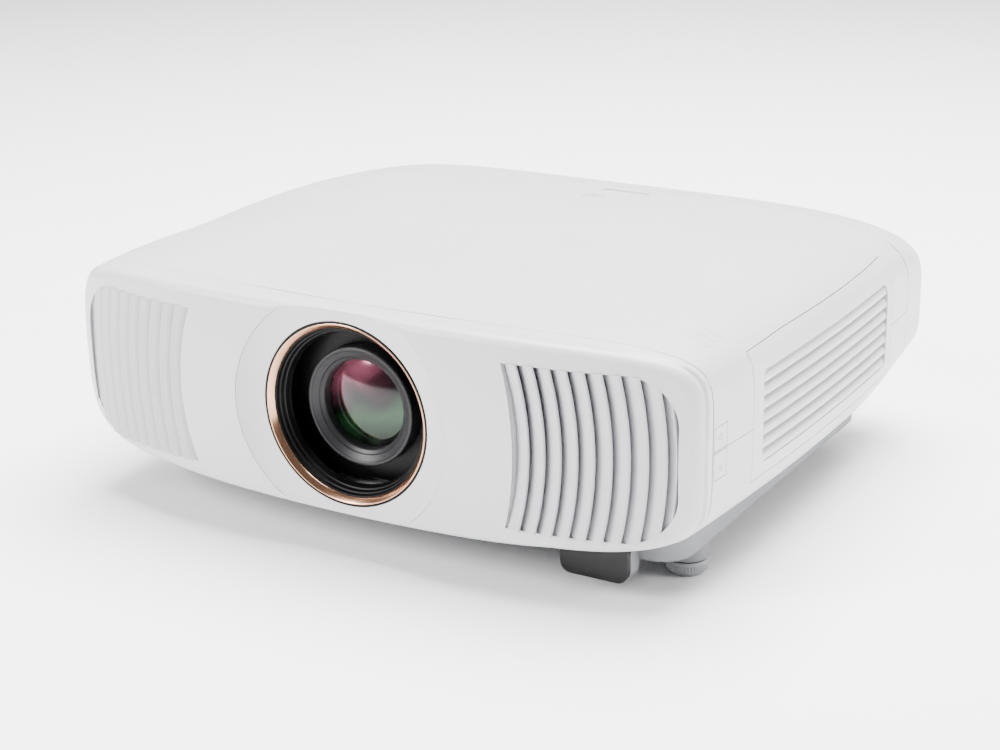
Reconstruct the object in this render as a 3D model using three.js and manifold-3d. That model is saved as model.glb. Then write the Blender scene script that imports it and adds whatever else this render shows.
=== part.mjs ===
// Home projector, as an assembly of separate named pieces.
// Millimetres, +Z up, the lens faces -Y, +X is to the right of someone looking at the lens.
// The origin is on the table, under the middle of the case.
import * as THREE from 'three';
import { mergeVertices } from 'three/addons/utils/BufferGeometryUtils.js';
import Module from 'manifold-3d';

const wasm = await Module();
wasm.setup();

// ------------------------------------------------------------------ driving sizes
// case
const CASE_W = 520;
const CASE_D = 447;
const CASE_TOP = 190;
const FEET_H = 24;
const WALL = 2.5;
const SEAM = 0.4;
const SLACK = 0.35;
const WAIST = 113.5;
const PARTING = 109.5;
const CASE_LOW = 38;
const CROWN_Y = 20;
const FRONT_TAPER = 11;
const REAR_TAPER = 7;
const FRONT_FALL = 11;
const REAR_FALL = 15;
const REAR_CORNER_R = 22;
const REAR_TOP_R = 30;
const REAR_LOW_R = 14;
const REAR_LIFT = 20;
const SEAM_BACK = 25.7;
const SEAM_BOW = 18;
const SEAM_TURN = 10;
const CHIN = 6;
const CHIN_W = 310;
const REAR_COVER_D = 55;

// front panel
const BOW = 43;
const BULGE = 2.7;
const BULGE_SPAN = 50;
const EDGE_R = 6;

// lens opening
const LENS_Z = 105;
const DISH_R = 84;
const DISH_DEPTH = 9.3;
const RING_R = 64.5;
const RING_FACE = 5.1;
const RING_DEPTH = 4.3;
const SHROUD_R = 54;
const SHROUD_DEPTH = 11;

// front grilles
const GRILLE_IN = 133;
const GRILLE_SIDE = 13;
const GRILLE_TOP = 163.5;
const GRILLE_LOW = 50;
const GRILLE_CORNER_R = 34;
const GRILLE_CENTRE = -60;
const GRILLE_DEPTH = 15;
const SLAT_COUNT = 10;
const SLAT_PITCH = 10.8;
const SLAT_T = 4;
const SLAT_DEPTH = 9.6;
const SLAT_LEAN = 1.5;

// lens and its shift stage
const RIM_R = 42.5;
const GLASS_R = 31.5;
const BARREL_R = 36;
const TUBE_R = 24;
const RING_GEAR_R = 44;
const PINION_R = 6;
const SHIFT_UP = 8.5;
const SHIFT_ACROSS = 7.5;
const PLATE_T = 4;

// side door and filter
const DOOR_FRONT = -120;
const DOOR_BACK = 128;
const DOOR_LOW = 72;
const DOOR_TOP = 161;
const VENT_FRONT = -106;
const VENT_BACK = 118;
const VENT_LOW = 81;
const VENT_TOP = 145;
const LOUVRE_COUNT = 7;
const LOUVRE_DEPTH = 11;
const LOUVRE_T = 2;
const FILTER_T = 12;

// tub and feet
const TUB_W = 456;
const TUB_FRONT = 54;
const TUB_REAR = 68;
const TUB_CORNER_R = 24;
const FOOT_X = 18;
const FOOT_Y = 103;
const FOOT_R = 14.5;
const FOOT_H = 10.5;
const BOSS_LOW = 12;
const STEM_R = 5;
const STEM_TOP = 52;
const REAR_FOOT_R = 12;
const REAR_FOOT_IN = 98;

// fans
const FAN = 70;
const FAN_T = 20;
const FAN_BLADES = 7;

const FRONT = -CASE_D / 2;
const REAR = CASE_D / 2;
const SIDE = CASE_W / 2;
const FRONT_SEAM = FRONT + SEAM_BACK;
const REAR_SEAM = REAR - REAR_COVER_D;
const TINY = 0.3;
const FAR = 400;

// ------------------------------------------------------------------ finishes
const FINISH = {
  white: { color: 0xe6e6e8, roughness: 0.42, metalness: 0 },
  grey: { color: 0xb9babd, roughness: 0.5, metalness: 0 },
  light: { color: 0xf4f6f8, roughness: 0.3, metalness: 0 },
  black: { color: 0x0c0c0d, roughness: 0.35, metalness: 0 },
  dark: { color: 0x2c2c2e, roughness: 0.45, metalness: 0 },
  rim: { color: 0x3a3a3c, roughness: 0.4, metalness: 0 },
  rose: { color: 0xc99a7c, roughness: 0.25, metalness: 1 },
  glass: { color: 0x1a241c, roughness: 0.05, metalness: 0 },
  metal: { color: 0xa9abae, roughness: 0.4, metalness: 1 },
  brass: { color: 0xb08d4a, roughness: 0.35, metalness: 1 },
  rubber: { color: 0x3b3b3d, roughness: 0.85, metalness: 0 },
  board: { color: 0x1f5a3a, roughness: 0.6, metalness: 0 },
  filter: { color: 0xcfd2cf, roughness: 0.9, metalness: 0 },
};

// ------------------------------------------------------------------ making solids
function solid(geometry) {
  const bare = geometry.clone();
  bare.deleteAttribute('normal');
  bare.deleteAttribute('uv');
  const merged = mergeVertices(bare, 1e-4);
  const vertProperties = new Float32Array(merged.attributes.position.array);
  const triVerts = new Uint32Array(merged.index.array);
  const made = new wasm.Manifold(new wasm.Mesh({ numProp: 3, vertProperties, triVerts }));
  if (made.volume() > 0) return made;
  triVerts.reverse();
  return new wasm.Manifold(new wasm.Mesh({ numProp: 3, vertProperties, triVerts }));
}

function box(x0, x1, y0, y1, z0, z1) {
  const geometry = new THREE.BoxGeometry(x1 - x0, y1 - y0, z1 - z0);
  geometry.translate((x0 + x1) / 2, (y0 + y1) / 2, (z0 + z1) / 2);
  return solid(geometry);
}

// A turned solid about the lens axis, from [radius, y] points.
function turnedY(profile, segments = 24) {
  const points = profile.map(([r, y]) => new THREE.Vector2(r, y));
  points.push(points[0].clone());
  return solid(new THREE.LatheGeometry(points, segments));
}

function rodY(radius, y0, y1, x = 0, z = 0, segments = 20) {
  const geometry = new THREE.CylinderGeometry(radius, radius, y1 - y0, segments);
  geometry.translate(x, (y0 + y1) / 2, z);
  return solid(geometry);
}

function rodZ(radius, z0, z1, x = 0, y = 0, segments = 20, topRadius = radius) {
  const geometry = new THREE.CylinderGeometry(topRadius, radius, z1 - z0, segments);
  geometry.rotateX(Math.PI / 2);
  geometry.translate(x, y, (z0 + z1) / 2);
  return solid(geometry);
}

function extruded(shape, length, curveSegments = 8) {
  return new THREE.ExtrudeGeometry(shape, { depth: length, bevelEnabled: false, curveSegments });
}

// A shape drawn in X and Z, carried from y0 to y1.
function prismY(shape, y0, y1, curveSegments = 6) {
  const geometry = extruded(shape, y1 - y0, curveSegments);
  geometry.rotateX(Math.PI / 2);
  geometry.translate(0, y1, 0);
  return solid(geometry);
}

// A shape drawn in X and Y, carried from z0 to z1.
function prismZ(shape, z0, z1, curveSegments) {
  const geometry = extruded(shape, z1 - z0, curveSegments);
  geometry.translate(0, 0, z0);
  return solid(geometry);
}

function roundedRect(x0, x1, y0, y1, r) {
  const shape = new THREE.Shape();
  shape.absarc(x1 - r, y1 - r, r, 0, Math.PI / 2);
  shape.absarc(x0 + r, y1 - r, r, Math.PI / 2, Math.PI);
  shape.absarc(x0 + r, y0 + r, r, Math.PI, 1.5 * Math.PI);
  shape.absarc(x1 - r, y0 + r, r, 1.5 * Math.PI, 2 * Math.PI);
  return shape;
}

// Rings of equal point counts, joined in order and closed with a fan at each end.
function loft(rings) {
  const count = rings[0].length;
  const positions = rings.flat().flatMap((p) => [p.x, p.y, p.z]);
  const index = [];
  for (let r = 0; r + 1 < rings.length; r += 1) {
    for (let k = 0; k < count; k += 1) {
      const a = r * count + k;
      const b = r * count + ((k + 1) % count);
      index.push(a, b, a + count, b, b + count, a + count);
    }
  }
  const ends = [[0, true], [rings.length - 1, false]];
  for (const [r, first] of ends) {
    const middle = rings[r].reduce((sum, p) => sum.add(p), new THREE.Vector3()).divideScalar(count);
    const hub = positions.length / 3;
    positions.push(middle.x, middle.y, middle.z);
    for (let k = 0; k < count; k += 1) {
      const a = r * count + k;
      const b = r * count + ((k + 1) % count);
      if (first) index.push(hub, b, a);
      else index.push(hub, a, b);
    }
  }
  const geometry = new THREE.BufferGeometry();
  geometry.setAttribute('position', new THREE.Float32BufferAttribute(positions, 3));
  geometry.setIndex(index);
  return solid(geometry);
}

function join(pieces) {
  return pieces.reduce((whole, piece) => whole.add(piece));
}

function cut(whole, tools) {
  return tools.reduce((rest, tool) => rest.subtract(tool), whole);
}

function mesh(name, shape, finish) {
  const { vertProperties, triVerts } = shape.getMesh();
  const geometry = new THREE.BufferGeometry();
  geometry.setAttribute('position', new THREE.BufferAttribute(vertProperties, 3));
  geometry.setIndex(new THREE.BufferAttribute(triVerts, 1));
  geometry.computeVertexNormals();
  const made = new THREE.Mesh(geometry, new THREE.MeshStandardMaterial(FINISH[finish]));
  made.name = name;
  return made;
}

const projector = new THREE.Group();

function add(name, shape, finish) {
  projector.add(mesh(name, shape, finish));
}

// ------------------------------------------------------------------ the case's surface
// How far a rounded rear edge of this radius has come in at y.
function rearRound(y, radius) {
  const into = Math.min(1, Math.max(0, y - (REAR - radius)) / radius);
  return radius * (1 - Math.sqrt(1 - into * into));
}

function halfWidth(y) {
  const behind = y - CROWN_Y;
  const share = behind < 0 ? behind / (CROWN_Y - FRONT_SEAM) : behind / (REAR - CROWN_Y);
  const taper = behind < 0 ? FRONT_TAPER : REAR_TAPER;
  return SIDE - taper * share ** 2 - rearRound(y, REAR_CORNER_R);
}

function topHeight(y) {
  const behind = y - CROWN_Y;
  const share = behind < 0 ? behind / (CROWN_Y - FRONT_SEAM) : behind / (REAR - REAR_TOP_R - CROWN_Y);
  const fall = behind < 0 ? FRONT_FALL : REAR_FALL;
  return CASE_TOP - fall * share ** 2 - rearRound(y, REAR_TOP_R);
}

function lowHeight(y) {
  const rise = THREE.MathUtils.smoothstep(y, REAR / 3, REAR);
  return CASE_LOW + REAR_LIFT * rise + rearRound(y, REAR_LOW_R);
}

const UPPER_POWER_FRONT = 6.2;
const UPPER_POWER_BEHIND = 4.2;
const LOWER_POWER = 6;
const PAST_SEAM = 2;

// The upper half of a section is nearly square at the front panel and rounder behind it.
function upperPower(y) {
  const share = THREE.MathUtils.smoothstep(y, FRONT_SEAM, FRONT_SEAM + CASE_D / 3);
  return THREE.MathUtils.lerp(UPPER_POWER_FRONT, UPPER_POWER_BEHIND, share);
}

// The front panel's lower edge hangs down below the lens, and is level again where the tub begins.
function chinDrop(x, y) {
  const share = 1 - THREE.MathUtils.smoothstep(y, FRONT_SEAM, FRONT + TUB_FRONT);
  return CHIN * share * Math.max(0, 1 - (2 * x / CHIN_W) ** 2);
}

// Even steps round a section, with a few more under its middle where the chin is.
const RING_STEPS = 40;
const CHIN_ANGLES = [-0.075, -0.025, 0.025, 0.075];
const RING_ANGLES = [...Array(RING_STEPS).keys()]
  .map((k) => (2 * Math.PI * k) / RING_STEPS)
  .concat(CHIN_ANGLES.map((angle) => 1.5 * Math.PI + angle))
  .sort((a, b) => a - b);

// One cross-section: two half superellipses that meet at the parting line.
function caseRing(y, inset, placeY = y) {
  const ring = [];
  for (const angle of RING_ANGLES) {
    const across = Math.cos(angle);
    const up = Math.sin(angle);
    const upper = up >= 0;
    const power = 2 / (upper ? upperPower(y) : LOWER_POWER);
    const height = upper ? topHeight(y) - WAIST - inset : WAIST - lowHeight(y) - inset;
    const x = Math.sign(across) * (halfWidth(y) - inset) * Math.abs(across) ** power;
    const chin = upper ? 0 : chinDrop(x, y) * Math.abs(up) ** power;
    const z = WAIST + Math.sign(up) * height * Math.abs(up) ** power - chin;
    ring.push(new THREE.Vector3(x, placeY, z));
  }
  return ring;
}

const REAR_STEPS = 6;
const LENGTH_STEPS = 7;

function caseBlock(inset) {
  const start = REAR - REAR_TOP_R;
  const stations = [FRONT];
  for (let k = 0; k < LENGTH_STEPS; k += 1) {
    stations.push(THREE.MathUtils.lerp(FRONT_SEAM, start, k / LENGTH_STEPS));
  }
  for (let k = 0; k <= REAR_STEPS; k += 1) {
    stations.push(start + REAR_TOP_R * Math.sin((Math.PI / 2) * (k / REAR_STEPS)));
  }
  return loft(stations.map((y) => caseRing(y, inset, y > CROWN_Y ? y - inset : y)));
}

function seamY(x) {
  return FRONT_SEAM + SEAM_BOW * (x / SIDE) ** 2 + SEAM_TURN * (x / SIDE) ** 8;
}

function frontY(x, z) {
  return FRONT + BOW * (Math.abs(x) / SIDE) ** 4 + BULGE * ((z - WAIST) / BULGE_SPAN) ** 2;
}

// The front panel's block: its bowed face and rounded edge, set in by inset and back by faceBack.
function panelBlock(inset, faceBack) {
  const rings = [];
  for (const share of [0.4, 0.75, 0.93]) {
    const ring = caseRing(FRONT_SEAM, inset + EDGE_R);
    ring.forEach((p) => p.set(p.x * share, 0, WAIST + (p.z - WAIST) * share));
    rings.push(ring.map((p) => p.setY(frontY(p.x, p.z) + faceBack)));
  }
  for (const part of [1, 0.4, 0]) {
    const ring = caseRing(FRONT_SEAM, inset + EDGE_R * part);
    const drop = EDGE_R * (1 - Math.sqrt(1 - (1 - part) ** 2));
    rings.push(ring.map((p) => p.setY(frontY(p.x, p.z) + faceBack + drop)));
  }
  const seamRing = caseRing(FRONT_SEAM, inset).map((p, k) => {
    const y = seamY(p.x) + PAST_SEAM;
    return caseRing(y, inset, y + faceBack)[k];
  });
  rings.push(seamRing);
  return loft(rings);
}

// Everything in front of the bowed seam, moved back by shift.
function aheadOfSeam(shift) {
  const shape = new THREE.Shape();
  const reach = SIDE + WALL;
  const steps = 20;
  shape.moveTo(-reach, -FAR);
  shape.lineTo(reach, -FAR);
  for (let k = 0; k <= steps; k += 1) {
    const x = reach - (2 * reach * k) / steps;
    shape.lineTo(x, seamY(x) + shift);
  }
  return prismZ(shape, -FAR, FAR);
}

const outer = caseBlock(0);
const inner = caseBlock(WALL);
const skin = outer.subtract(inner);

// ------------------------------------------------------------------ tub
const TUB_TOP = CASE_LOW + 14;
const tubFront = FRONT + TUB_FRONT;
const tubRear = REAR - TUB_REAR;

function tubBlock(inset) {
  const half = TUB_W / 2 - inset;
  const r = TUB_CORNER_R - inset;
  const shape = roundedRect(-half, half, tubFront + inset, tubRear - inset, r);
  return prismZ(shape, FEET_H + inset, TUB_TOP);
}

const footX = TUB_W / 2 - FOOT_X;
const footY = FRONT + FOOT_Y;
const rearFootX = footX - 30;
const rearFootY = REAR - REAR_FOOT_IN;
const sides = [['left', -1], ['right', 1]];

// ------------------------------------------------------------------ side door
const doorZone = (grow) => box(
  SIDE - 60, SIDE + 20, DOOR_FRONT - grow, DOOR_BACK + grow, DOOR_LOW - grow, DOOR_TOP + grow,
);

function filterDoor() {
  const vent = box(SIDE - 60, SIDE + 20, VENT_FRONT, VENT_BACK, VENT_LOW, VENT_TOP);
  const panel = skin.intersect(doorZone(0)).subtract(vent);
  const pitch = (VENT_TOP - VENT_LOW) / LOUVRE_COUNT;
  const blades = [];
  for (let k = 0; k < LOUVRE_COUNT; k += 1) {
    const z = VENT_LOW + pitch * (k + 0.35);
    const blade = new THREE.BoxGeometry(LOUVRE_DEPTH, VENT_BACK - VENT_FRONT + 4, LOUVRE_T);
    blade.rotateY(THREE.MathUtils.degToRad(28));
    blade.translate(SIDE - 8, (VENT_FRONT + VENT_BACK) / 2, z);
    blades.push(solid(blade));
  }
  const cheek = (y) => box(SIDE - 14, SIDE - 4, y - 1, y + 1, VENT_LOW - 4, VENT_TOP + 4);
  blades.push(cheek(VENT_FRONT - 1), cheek(VENT_BACK + 1));
  return panel.add(join(blades).intersect(caseBlock(0.5)));
}

// ------------------------------------------------------------------ keys and lights
const keyFront = FRONT + 52;
const keyBack = keyFront + 15.5;
const KEY_DEPTH = 7;
const keyZones = {
  power_button: [PARTING + 1, PARTING + 16.5],
  source_button: [PARTING - 19, PARTING - 1],
};

function keyZone([low, high], grow) {
  const x = halfWidth(keyFront) - KEY_DEPTH;
  return box(x - grow, SIDE + 20, keyFront - grow, keyBack + grow, low - grow, high + grow);
}

const lightX0 = SIDE - 38;
const lightX1 = SIDE - 24;
const LIGHT_W = 1.8;
const LIGHT_PITCH = 9;
const lightY = (k) => FRONT + 75 + k * LIGHT_PITCH;

function lightZone(k, grow) {
  const half = LIGHT_W / 2 + grow;
  return box(lightX0 - grow, lightX1 + grow, lightY(k) - half, lightY(k) + half, CASE_TOP - 35, CASE_TOP);
}

const LATCH_X = 30;
const latchY = REAR - 82;
const latchZone = (grow) => box(
  LATCH_X - 20 - grow, LATCH_X + 20 + grow, latchY - 4 - grow, latchY + 4 + grow, CASE_TOP - 22, CASE_TOP,
);

// ------------------------------------------------------------------ receiver under the front panel
const RECEIVER_X = 173;
const RECEIVER_HALF = 25;
const RECEIVER_LOW = 12;
const RECEIVER_R = 8;
const RECEIVER_T = 5;
const receiverY = FRONT + 38;

function receiverShape() {
  const x0 = RECEIVER_X - RECEIVER_HALF;
  const x1 = RECEIVER_X + RECEIVER_HALF;
  const turn = RECEIVER_LOW + RECEIVER_R;
  const shape = new THREE.Shape();
  shape.moveTo(x0, CASE_LOW - SEAM);
  shape.lineTo(x0, turn);
  shape.absarc(x0 + RECEIVER_R, turn, RECEIVER_R, Math.PI, 1.5 * Math.PI);
  shape.absarc(x1 - RECEIVER_R, turn, RECEIVER_R, 1.5 * Math.PI, 2 * Math.PI);
  shape.lineTo(x1, CASE_LOW - SEAM);
  return shape;
}

// ------------------------------------------------------------------ shells
function shells() {
  const ahead = aheadOfSeam(SEAM / 2);
  const behind = box(-FAR, FAR, REAR_SEAM - SEAM / 2, FAR, -FAR, FAR);
  const keyHoles = Object.values(keyZones).map((zone) => keyZone(zone, SLACK));
  const lightHoles = [0, 1, 2].map((k) => lightZone(k, SLACK));
  const lower = box(-FAR, FAR, -FAR, FAR, -FAR, PARTING - SEAM / 2);
  const upper = box(-FAR, FAR, -FAR, FAR, PARTING + SEAM / 2, FAR);
  const shared = [ahead, behind, doorZone(SEAM), ...keyHoles];
  add('top_cover', cut(skin.intersect(upper), [...shared, ...lightHoles, latchZone(SLACK)]), 'white');

  const bosses = [];
  const bores = [];
  for (const [, sign] of sides) {
    const boss = rodZ(FOOT_R, BOSS_LOW, FEET_H + WALL, sign * footX, footY, 20, FOOT_R + 1.5);
    bosses.push(boss, rodZ(STEM_R + 3, FEET_H + WALL / 2, STEM_TOP - 8, sign * footX, footY, 14));
    bores.push(rodZ(STEM_R + SLACK, 0, STEM_TOP, sign * footX, footY, 14));
    bosses.push(rodZ(REAR_FOOT_R, BOSS_LOW, FEET_H + WALL / 2, sign * rearFootX, rearFootY));
  }
  bosses.push(prismY(receiverShape(), receiverY + RECEIVER_T + TINY, tubFront + WALL / 2));
  const full = outer.intersect(lower).add(tubBlock(0));
  const hollow = inner.intersect(box(-FAR, FAR, -FAR, FAR, -FAR, PARTING)).add(tubBlock(WALL));
  const tray = cut(full.subtract(hollow), [ahead, behind, doorZone(SEAM), ...keyHoles]);
  add('bottom_case', cut(join([tray, ...bosses]), bores), 'grey');
}

// ------------------------------------------------------------------ rear cover and its panel
const IO_HALF = 170;
const IO_LOW = 78;
const IO_HIGH = 134;
const IO_BACK = 9;
const ioY = REAR - IO_BACK;
const connectors = [
  { name: 'hdmi_port_1', x: 40, z: 94, w: 15, h: 6, finish: 'metal' },
  { name: 'hdmi_port_2', x: 66, z: 94, w: 15, h: 6, finish: 'metal' },
  { name: 'lan_port', x: 96, z: 97, w: 15.5, h: 13, finish: 'metal' },
  { name: 'power_inlet', x: -120, z: 99, w: 27, h: 20, finish: 'black' },
];
const PORT_D = 14;
const PORT_WALL = 1.2;
const PORT_PROUD = 0.5;

function portBlock({ x, z, w, h }, grow) {
  const across = w / 2 + grow;
  const up = h / 2 + grow;
  return box(x - across, x + across, ioY - PORT_D, ioY + PORT_PROUD, z - up, z + up);
}

function rear() {
  const zone = box(-FAR, FAR, REAR_SEAM + SEAM / 2, FAR, -FAR, FAR);
  const recess = box(-IO_HALF, IO_HALF, ioY - 2, FAR, IO_LOW, IO_HIGH);
  const wellHalf = IO_HALF + WALL;
  const well = box(-wellHalf, wellHalf, ioY - 2, REAR - WALL / 2, IO_LOW - WALL, IO_HIGH + WALL);
  add('rear_cover', skin.intersect(zone).add(well.intersect(outer)).subtract(recess), 'white');

  const plate = box(-IO_HALF + SLACK, IO_HALF - SLACK, ioY - 1.5, ioY, IO_LOW + SLACK, IO_HIGH - SLACK);
  add('io_panel', cut(plate, connectors.map((port) => portBlock(port, SLACK))), 'dark');
  for (const port of connectors) {
    const bodyBlock = portBlock(port, 0);
    const mouth = box(
      port.x - port.w / 2 + PORT_WALL, port.x + port.w / 2 - PORT_WALL,
      ioY - PORT_D + 2, FAR, port.z - port.h / 2 + PORT_WALL, port.z + port.h / 2 - PORT_WALL,
    );
    add(port.name, bodyBlock.subtract(mouth), port.finish);
  }
}

// ------------------------------------------------------------------ front panel and lens opening
const ringY = FRONT + DISH_DEPTH;
const ringInner = RING_R - RING_FACE;
const ringBackY = ringY + RING_DEPTH;
const shroudBackY = ringBackY + SHROUD_DEPTH;

function atLens(shape) {
  return shape.translate([0, 0, LENS_Z]);
}

const grilleOut = () => halfWidth(FRONT_SEAM) - GRILLE_SIDE;

// A grille opening on the +X side: an arc towards the lens, rounded corners at the outer side.
function grilleShape(inset) {
  const low = GRILLE_LOW + inset;
  const high = GRILLE_TOP - inset;
  const out = grilleOut() - inset;
  const r = GRILLE_CORNER_R - inset;
  const radius = GRILLE_IN - GRILLE_CENTRE + inset;
  const shape = new THREE.Shape();
  const lowAngle = Math.asin((low - LENS_Z) / radius);
  const highAngle = Math.asin((high - LENS_Z) / radius);
  shape.absarc(GRILLE_CENTRE, LENS_Z, radius, highAngle, lowAngle, true);
  shape.absarc(out - r, low + r, r, -Math.PI / 2, 0);
  shape.absarc(out - r, high - r, r, 0, Math.PI / 2);
  return shape;
}

function onSide(shape, sign) {
  return sign > 0 ? shape : shape.mirror([1, 0, 0]);
}

// One curved slat, an arc band about the same centre as the opening's inner edge, leaning in towards
// the lens behind its front edge. The last one runs into the opening's outer wall.
function slat(k) {
  const radius = GRILLE_IN - GRILLE_CENTRE + SLAT_PITCH * (k + 1);
  const reach = 0.4;
  const shape = new THREE.Shape();
  shape.absarc(GRILLE_CENTRE, LENS_Z, radius, -reach, reach, false);
  shape.absarc(GRILLE_CENTRE, LENS_Z, radius - SLAT_T, reach, -reach, true);
  const place = frontY(GRILLE_CENTRE + radius, LENS_Z);
  const lean = new THREE.Matrix4().set(
    1, -SLAT_LEAN, 0, SLAT_LEAN * place,
    0, 1, 0, 0,
    0, 0, 1, 0,
    0, 0, 0, 1,
  );
  return prismY(shape, FRONT - WALL, FRONT + FAR / 4, 6).transform(lean.elements);
}

// What lies between two copies of the face's plan curve, set back by these two distances.
function behindFace(near, far) {
  const steps = 7;
  const shape = new THREE.Shape();
  const at = (k) => (SIDE * k) / steps;
  for (let k = 0; k <= steps; k += 1) {
    if (k) shape.lineTo(at(k), frontY(at(k), LENS_Z) + near);
    else shape.moveTo(at(k), frontY(at(k), LENS_Z) + near);
  }
  for (let k = steps; k >= 0; k -= 1) shape.lineTo(at(k), frontY(at(k), LENS_Z) + far);
  return prismZ(shape, 0, CASE_TOP);
}

// Everything inside the front panel's walls, as a straight prism along Y.
function insideOutline(inset) {
  const shape = new THREE.Shape(caseRing(FRONT_SEAM, inset).map((p) => new THREE.Vector2(p.x, p.z)));
  return prismY(shape, -FAR, 0);
}

const SLAT_BACK = 0.6;
const RIB_BACK = 8;
const GRILLE_RIM = 1.6;

function grille() {
  const zone = prismY(grilleShape(SLACK), -FAR, 0);
  const rim = zone.subtract(prismY(grilleShape(SLACK + GRILLE_RIM), -FAR, 0));
  const slats = [];
  for (let k = 0; k < SLAT_COUNT; k += 1) slats.push(slat(k));
  const leaning = join(slats).intersect(behindFace(SLAT_BACK, SLAT_DEPTH));
  const duct = rim.intersect(behindFace(SLAT_BACK, GRILLE_DEPTH));
  const ribs = [1, 2].map((third) => {
    const z = GRILLE_LOW + ((GRILLE_TOP - GRILLE_LOW) * third) / 3;
    return box(0, SIDE, FRONT, 0, z - 1, z + 1);
  });
  const cross = join(ribs).intersect(behindFace(RIB_BACK, GRILLE_DEPTH));
  return join([duct, leaning, cross]).intersect(zone);
}

function frontPanel() {
  const shell = panelBlock(0, 0).subtract(panelBlock(WALL, WALL)).intersect(aheadOfSeam(-SEAM / 2));
  const notch = turnedY([
    [0, -FAR],
    [DISH_R + SLACK, -FAR],
    [DISH_R + SLACK, FRONT + WALL + SLACK + 1],
    [RING_R, ringY + WALL + SLACK],
    [0, ringY + WALL + SLACK],
  ], 36);
  const openings = sides.map(([, sign]) => onSide(prismY(grilleShape(0), -FAR, 0), sign));
  add('front_panel', cut(shell, [atLens(notch), ...openings]), 'white');

  const dish = turnedY([
    [DISH_R, FRONT],
    [DISH_R, FRONT + WALL],
    [RING_R + SLACK, ringY + WALL],
    [RING_R + SLACK, ringY],
    [(DISH_R + RING_R) / 2, (FRONT + ringY) / 2 + 1],
  ], 36);
  add('lens_dish', atLens(dish).intersect(panelBlock(WALL + SLACK, 0)), 'white');

  for (const [side, sign] of sides) add(`grille_${side}`, onSide(grille(), sign), 'white');

  const ring = turnedY([
    [RING_R, ringY - 0.4],
    [RING_R, ringBackY - TINY],
    [ringInner, ringBackY - TINY],
    [RING_R - 0.8, ringY - 0.4],
  ], 36);
  add('lens_trim_ring', atLens(ring), 'rose');

  const shroud = turnedY([
    [ringInner, ringBackY],
    [RING_R, ringBackY],
    [RING_R, shroudBackY - 2],
    [RING_R + 8, shroudBackY - 2],
    [RING_R + 8, shroudBackY],
    [SHROUD_R, shroudBackY],
    [ringInner - 2, ringBackY + 4],
  ], 36);
  add('lens_shroud', atLens(shroud).intersect(insideOutline(WALL + 1)), 'black');
}

// ------------------------------------------------------------------ shutter
const LEAF_T = 1.6;
const LEAF_H = 2 * (SHROUD_R + 3);
const leafW = SHROUD_R + 3;
const leafY = shroudBackY + 0.6;
const frameY = leafY + LEAF_T + 0.6;

function shutter() {
  for (const [side, sign] of sides) {
    const near = SHROUD_R + 2;
    const leaf = box(near, near + leafW, leafY, leafY + LEAF_T, LENS_Z - LEAF_H / 2, LENS_Z + LEAF_H / 2);
    add(`shutter_leaf_${side}`, onSide(leaf, sign), 'black');
  }
  const half = SHROUD_R + leafW + 4;
  const high = LEAF_H / 2 + 5;
  const plate = box(-half, half, frameY, frameY + 1.5, LENS_Z - high, LENS_Z + high);
  const rails = [-1, 1].map((sign) => {
    const z = LENS_Z + sign * (LEAF_H / 2 + 2.5);
    return box(-half, half, leafY - TINY, frameY + 1, z - 1.5, z + 1.5);
  });
  const hole = rodY(SHROUD_R + 3, frameY - 9, frameY + 9, 0, LENS_Z, 24);
  add('shutter_frame', join([plate, ...rails]).subtract(hole), 'black');
}

// ------------------------------------------------------------------ lens
const rimY = frameY - 0.2;
const baffleY = rimY + 12;
const BAFFLE_HALF_W = 66;
const BAFFLE_HALF_H = 55;
const focusY = baffleY + 26;
const zoomY = focusY + 26;
const RING_W = 18;
const flangeY = zoomY + RING_W + 8;
const upPlateY = flangeY + 5;
const acrossPlateY = upPlateY + PLATE_T + 3;
const basePlateY = acrossPlateY + PLATE_T + 3;
const tubeEndY = basePlateY + PLATE_T + 6;

function gearRing(y) {
  const ring = turnedY([
    [BARREL_R + SLACK, y],
    [BARREL_R + SLACK, y + RING_W],
    [RING_GEAR_R, y + RING_W],
    [RING_GEAR_R, y],
  ]);
  return atLens(ring);
}

function pinionPlace() {
  const reach = (RING_GEAR_R + PINION_R + TINY) * Math.SQRT1_2;
  return [-reach, LENS_Z - reach];
}

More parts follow.
